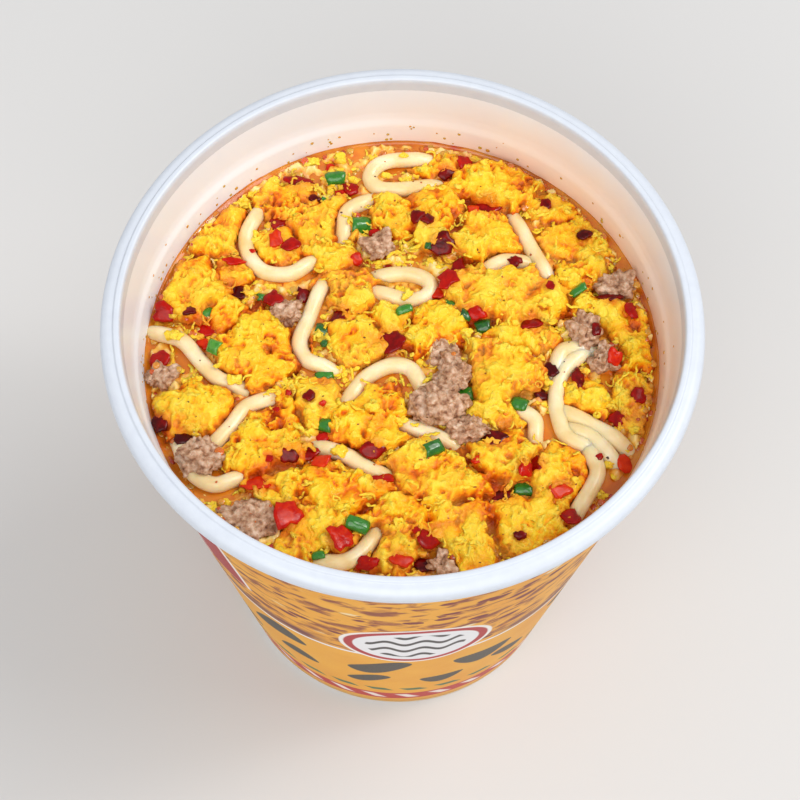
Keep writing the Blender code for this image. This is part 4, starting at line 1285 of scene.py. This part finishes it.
# The middle (x, y), the length along x and the width along y of each slice.
ONION_BITS = (
    (-14, 38.7, 2.4, 3.8), (-8.6, 28.5, 4, 3.2), (-37.5, 7.6, 3, 2.6), (-35.2, -0.7, 2.6, 2.6),
    (-14.5, -5, 2.6, 3.2), (-13.7, -15.8, 2.6, 2.4), (-7.3, -36, 4, 2.6), (-14, -41.8, 2.2, 1.5),
    (6, -21, 3.8, 2.6), (22.2, -10.3, 2.6, 3), (12.2, -8, 2.6, 3.2), (0.3, 8.5, 1.7, 3),
    (8.8, 11, 3.4, 2.2), (11.7, 7.5, 2.2, 2.2), (15.3, 6, 3, 2.6), (22.8, -27, 3.8, 2.6),
    (-15.3, 5, 2.8, 2.6), (33.7, 13.6, 3.4, 1.8), (-27, 11.5, 2.6, 1.5),
    (-14.6, 1.5, 1.4, 1), (-16.5, 34, 1.5, 1), (4.7, 22.8, 1.3, 1),
)


def leaf_strip(place, normal, length, width, draw):
    """A slice of leaf: a curved wall with two skins and rounded edges."""
    turn = Vector((0, 0, 1)).rotation_difference(normal).to_matrix()
    spin = Matrix.Rotation(draw.uniform(-0.5, 0.5), 3, "Z")
    curl = draw.uniform(1.7, 3.4)
    radius = width / 2 / math.sin(min(curl / 2, math.pi / 2))
    around, along = 14, 8
    points = []
    for skin in (0, 1):
        for row in range(along + 1):
            for column in range(around + 1):
                angle = (column / around - 0.5) * curl
                edge = min(column, around - column, 1.5) / 1.5 * min(row, along - row, 1.5) / 1.5
                thick = LEAF_THICKNESS * (0.25 + 0.75 * edge) * (0.5 if skin else -0.5)
                reach = radius + thick + 0.12 * noise.noise(Vector((column * 0.4, row * 0.5, place.x)))
                x = (row / along - 0.5) * length * (1 + 0.1 * math.sin(angle * 2 + place.y))
                spot = Vector((x, reach * math.sin(angle), reach * math.cos(angle) - radius * 0.8))
                points.append(place + turn @ (spin @ spot))
    wide = around + 1
    size = wide * (along + 1)
    faces = []
    for row in range(along):
        for column in range(around):
            first = row * wide + column
            inner = (first, first + 1, first + wide + 1, first + wide)
            faces.append(inner)
            faces.append(tuple(size + corner for corner in reversed(inner)))
    border = list(range(wide)) + [row * wide + around for row in range(1, along + 1)]
    border += [along * wide + column for column in range(around - 1, -1, -1)]
    border += [row * wide for row in range(along - 1, 0, -1)]
    for start, end in zip(border, border[1:] + border[:1]):
        faces.append((end, start, start + size, end + size))
    return points, faces


onion_heap = Heap()
draw = random.Random(53)
for x, y, length, width in ONION_BITS:
    x, y = off_wall(x, y, max(length, width) * 0.55)
    place, normal = drop_to(ground, x, y)
    normal = normal.lerp(Vector((0, 0, 1)), 0.5).normalized()
    if width > length:
        length, width = width, length
    place += normal * 0.55
    onion_heap.add(*leaf_strip(place, normal, length, width, draw), draw.uniform(0, 1))

# Spring onion leaf, sliced: a waxy deep green skin with fine ribs along the leaf, paler inside,
# wet enough to catch a bright line of light.
onion_finish, tree, shader = new_material(
    "spring_onion_sliced", IOR=1.42, Roughness=0.22, Subsurface_Weight=0.25,
    Subsurface_Radius=(0.5, 1.4, 0.2), Subsurface_Scale=0.0007, Coat_Weight=0.6, Coat_Roughness=0.08,
)
place = add_node(tree, "ShaderNodeTexCoord").outputs["Object"]
each = add_node(tree, "ShaderNodeAttribute", attribute_name="tone").outputs["Fac"]
vein = add_node(
    tree, "ShaderNodeTexNoise", {"Vector": place, "Scale": per_mm(0.9), "Detail": 3.0},
).outputs[0]
mixed = add_node(tree, "ShaderNodeMath", {0: vein, 1: 0.9, 2: -0.45}, operation="MULTIPLY_ADD").outputs[0]
mixed = add_node(tree, "ShaderNodeMath", {0: each, 1: mixed}, operation="ADD").outputs[0]
green = add_node(
    tree, "ShaderNodeValToRGB", {0: mixed},
    stops=((0.0, "174D12"), (0.5, "2C7A1D"), (0.85, "37801F"), (1.0, "4F922C")),
).outputs[0]
tree.links.new(green, shader.inputs["Base Color"])
relief = add_node(tree, "ShaderNodeBump", {"Height": vein, "Strength": 0.5, "Distance": 0.0002})
tree.links.new(relief.outputs[0], shader.inputs["Normal"])
onion = onion_heap.piece("spring_onion_slices", onion_finish)


# Coarse ground pepper and bits of chili skin come with the soup powder.
# They float up as it dissolves, and stick all over the egg, noodles and broth.
SPECK_COUNT = 170
speck_heap = Heap()
draw = random.Random(61)
for _ in range(SPECK_COUNT):
    x, y = spots[draw.randrange(len(spots))]
    if math.hypot(x, y) > wall_radius(BROTH_LEVEL) - 0.8:
        continue
    place, normal = drop_to(ground, x, y)
    size = draw.triangular(0.2, 0.6, 0.28)
    points, faces = flake(place + normal * 0.05, normal, size, size * draw.uniform(0.5, 1), 0.2, draw)
    speck_heap.add(points, faces, draw.random())

# Cracked pepper and dried skins: small matt flecks, from near black to a warm brown,
# that make the surface look seasoned.
speck_finish, tree, shader = new_material("pepper_cracked", IOR=1.45, Roughness=0.5)
each = add_node(tree, "ShaderNodeAttribute", attribute_name="tone").outputs["Fac"]
brown = add_node(
    tree, "ShaderNodeValToRGB", {0: each},
    stops=((0.0, "4A2A12"), (0.4, "8A4A1C"), (0.7, "B5521C"), (1.0, "C8661F")),
).outputs[0]
tree.links.new(brown, shader.inputs["Base Color"])
specks = speck_heap.piece("pepper_flecks", speck_finish)


# Chili oil doesn't mix with the broth: it floats on it in flat beads, most of them at the wall.
# Small splashes of it cling to the wall above, thrown there when the soup was stirred.
OIL_COUNT = 240
SPLASH_COUNT = 90
SPLASH_CEILING = 112


def bead(place, normal, radius, rise, sides=12):
    """A flat round drop, closed below."""
    turn = Vector((0, 0, 1)).rotation_difference(normal).to_matrix()
    points = [place + turn @ Vector((0, 0, rise))]
    rings = ((0.5, 0.86), (0.85, 0.5), (1.0, 0.0), (0.8, -0.25))
    for share, high in rings:
        for side in range(sides):
            angle = 2 * math.pi * side / sides
            flat_way = Vector((math.cos(angle), math.sin(angle), 0)) * radius * share
            points.append(place + turn @ (flat_way + Vector((0, 0, rise * high))))
    faces = []
    for side in range(sides):
        after = (side + 1) % sides
        faces.append((0, 1 + side, 1 + after))
        for ring in range(len(rings) - 1):
            near = 1 + ring * sides
            faces.append((near + side, near + sides + side, near + sides + after, near + after))
    faces.append(tuple(reversed(range(1 + 3 * sides, 1 + 4 * sides))))
    return points, faces


oil_heap = Heap()
draw = random.Random(71)
for _ in range(OIL_COUNT):
    if draw.random() < 0.5:
        angle = draw.uniform(0, 2 * math.pi)
        reach = wall_radius(BROTH_LEVEL) - draw.triangular(0.5, 3.0, 0.8)
        x, y = reach * math.cos(angle), reach * math.sin(angle)
    else:
        x, y = open_spots[draw.randrange(len(open_spots))]
    place, normal = drop_to(ground, x, y)
    radius = draw.triangular(0.25, 1.1, 0.4)
    points, faces = bead(place, normal.lerp(Vector((0, 0, 1)), 0.6).normalized(), radius, radius * 0.35)
    oil_heap.add(points, faces, draw.random())

# Chili oil: clear, orange to red, and glossy as glass, so each bead shows one bright point
# of light.
oil_finish, tree, shader = new_material(
    "chili_oil_clear", IOR=1.47, Roughness=0.04, Subsurface_Weight=0.5,
    Subsurface_Radius=(2.0, 0.6, 0.1), Subsurface_Scale=0.0012, Coat_Weight=0.8, Coat_Roughness=0.02,
)
each = add_node(tree, "ShaderNodeAttribute", attribute_name="tone").outputs["Fac"]
orange = add_node(
    tree, "ShaderNodeValToRGB", {0: each},
    stops=((0.0, "E3A43A"), (0.4, "E98A1F"), (0.75, "DD5A12"), (1.0, "C22E0C")),
).outputs[0]
tree.links.new(orange, shader.inputs["Base Color"])
oil_beads = oil_heap.piece("chili_oil_beads", oil_finish)

splash_heap = Heap()
draw = random.Random(83)
for _ in range(SPLASH_COUNT):
    angle = draw.gauss(math.radians(100), 1.1)
    height = BROTH_LEVEL + 0.7 + abs(draw.gauss(0, 2.6))
    if height > SPLASH_CEILING:
        continue
    radius = wall_radius(height)
    if height >= SHOULDER_HEIGHT:
        radius = SHOULDER_RADIUS + (height - SHOULDER_HEIGHT) * 0.29
    if height > STEP_HEIGHT:
        radius = STEP_RADIUS + (height - STEP_HEIGHT) * 0.092
    size = draw.triangular(0.12, 0.5, 0.18)
    inward = Vector((-math.cos(angle), -math.sin(angle), 0.1)).normalized()
    place = Vector((radius * math.cos(angle), radius * math.sin(angle), height))
    splash_heap.add(*bead(place, inward, size, size * 0.4, 10), draw.uniform(0, 0.35))
splashes = splash_heap.piece("wall_splashes", oil_finish)


# The studio: a floor of plain pale paper, a large soft light high on the right, a wider one
# from the front left, and a small one that makes the wet glints. The camera stands where the
# photograph was taken from.
LENS = 81.18
CAMERA_AT = (0.0, -160.2, 404.7)
CAMERA_TO = (-0.2, 0.0, 83.65)
CAMERA_ROLL = math.radians(1.2755)

floor = turned("studio_floor", [(0, 0), (900, 0), (2600, 0)], 64)
floor_finish, tree, shader = new_material("matt_paper_backdrop", Roughness=0.7, IOR=1.45)
place = add_node(tree, "ShaderNodeTexCoord").outputs["Object"]
cloudy = add_node(tree, "ShaderNodeTexNoise", {"Vector": place, "Scale": per_mm(160), "Detail": 3.0})
pale = add_node(
    tree, "ShaderNodeValToRGB", {0: cloudy.outputs[0]}, stops=((0.2, "D2D2D1"), (0.8, "D7D6D5")),
)
tree.links.new(pale.outputs[0], shader.inputs["Base Color"])
floor.data.materials.append(floor_finish)

world = bpy.data.worlds.new("studio")
world.use_nodes = True
sky = world.node_tree.nodes["Background"]
sky.inputs["Color"].default_value = light_colour("F4F6FA")
sky.inputs["Strength"].default_value = 0.55
bpy.context.scene.world = world

for name, at, size, power, colour in (
    ("key", (900, 130, 1420), 1000, 10.2, "FFFDFA"),
    ("fill", (-250, -1200, 1500), 1800, 20.5, "FFFEFC"),
    ("glint", (560, 60, 800), 150, 0.9, "FFFFFF"),
):
    lamp = bpy.data.lights.new(name, "AREA")
    lamp.shape = "DISK"
    lamp.size = size * MM
    lamp.energy = power
    lamp.color = light_colour(colour)[:3]
    holder = bpy.data.objects.new(name, lamp)
    holder.location = Vector(at) * MM
    holder.rotation_euler = (Vector((0, 0, 90)) * MM - holder.location).to_track_quat("-Z", "Y").to_euler()
    bpy.context.scene.collection.objects.link(holder)

view = bpy.data.cameras.new("camera")
view.lens = LENS
view.sensor_width = 36
view.clip_start = 0.01
camera = bpy.data.objects.new("camera", view)
camera.location = Vector(CAMERA_AT) * MM
look = (Vector(CAMERA_TO) - Vector(CAMERA_AT)).to_track_quat("-Z", "Y")
camera.rotation_mode = "QUATERNION"
camera.rotation_quaternion = look @ Quaternion((0, 0, 1), CAMERA_ROLL)
bpy.context.scene.collection.objects.link(camera)
bpy.context.scene.camera = camera
bpy.context.scene.view_settings.view_transform = "Standard"
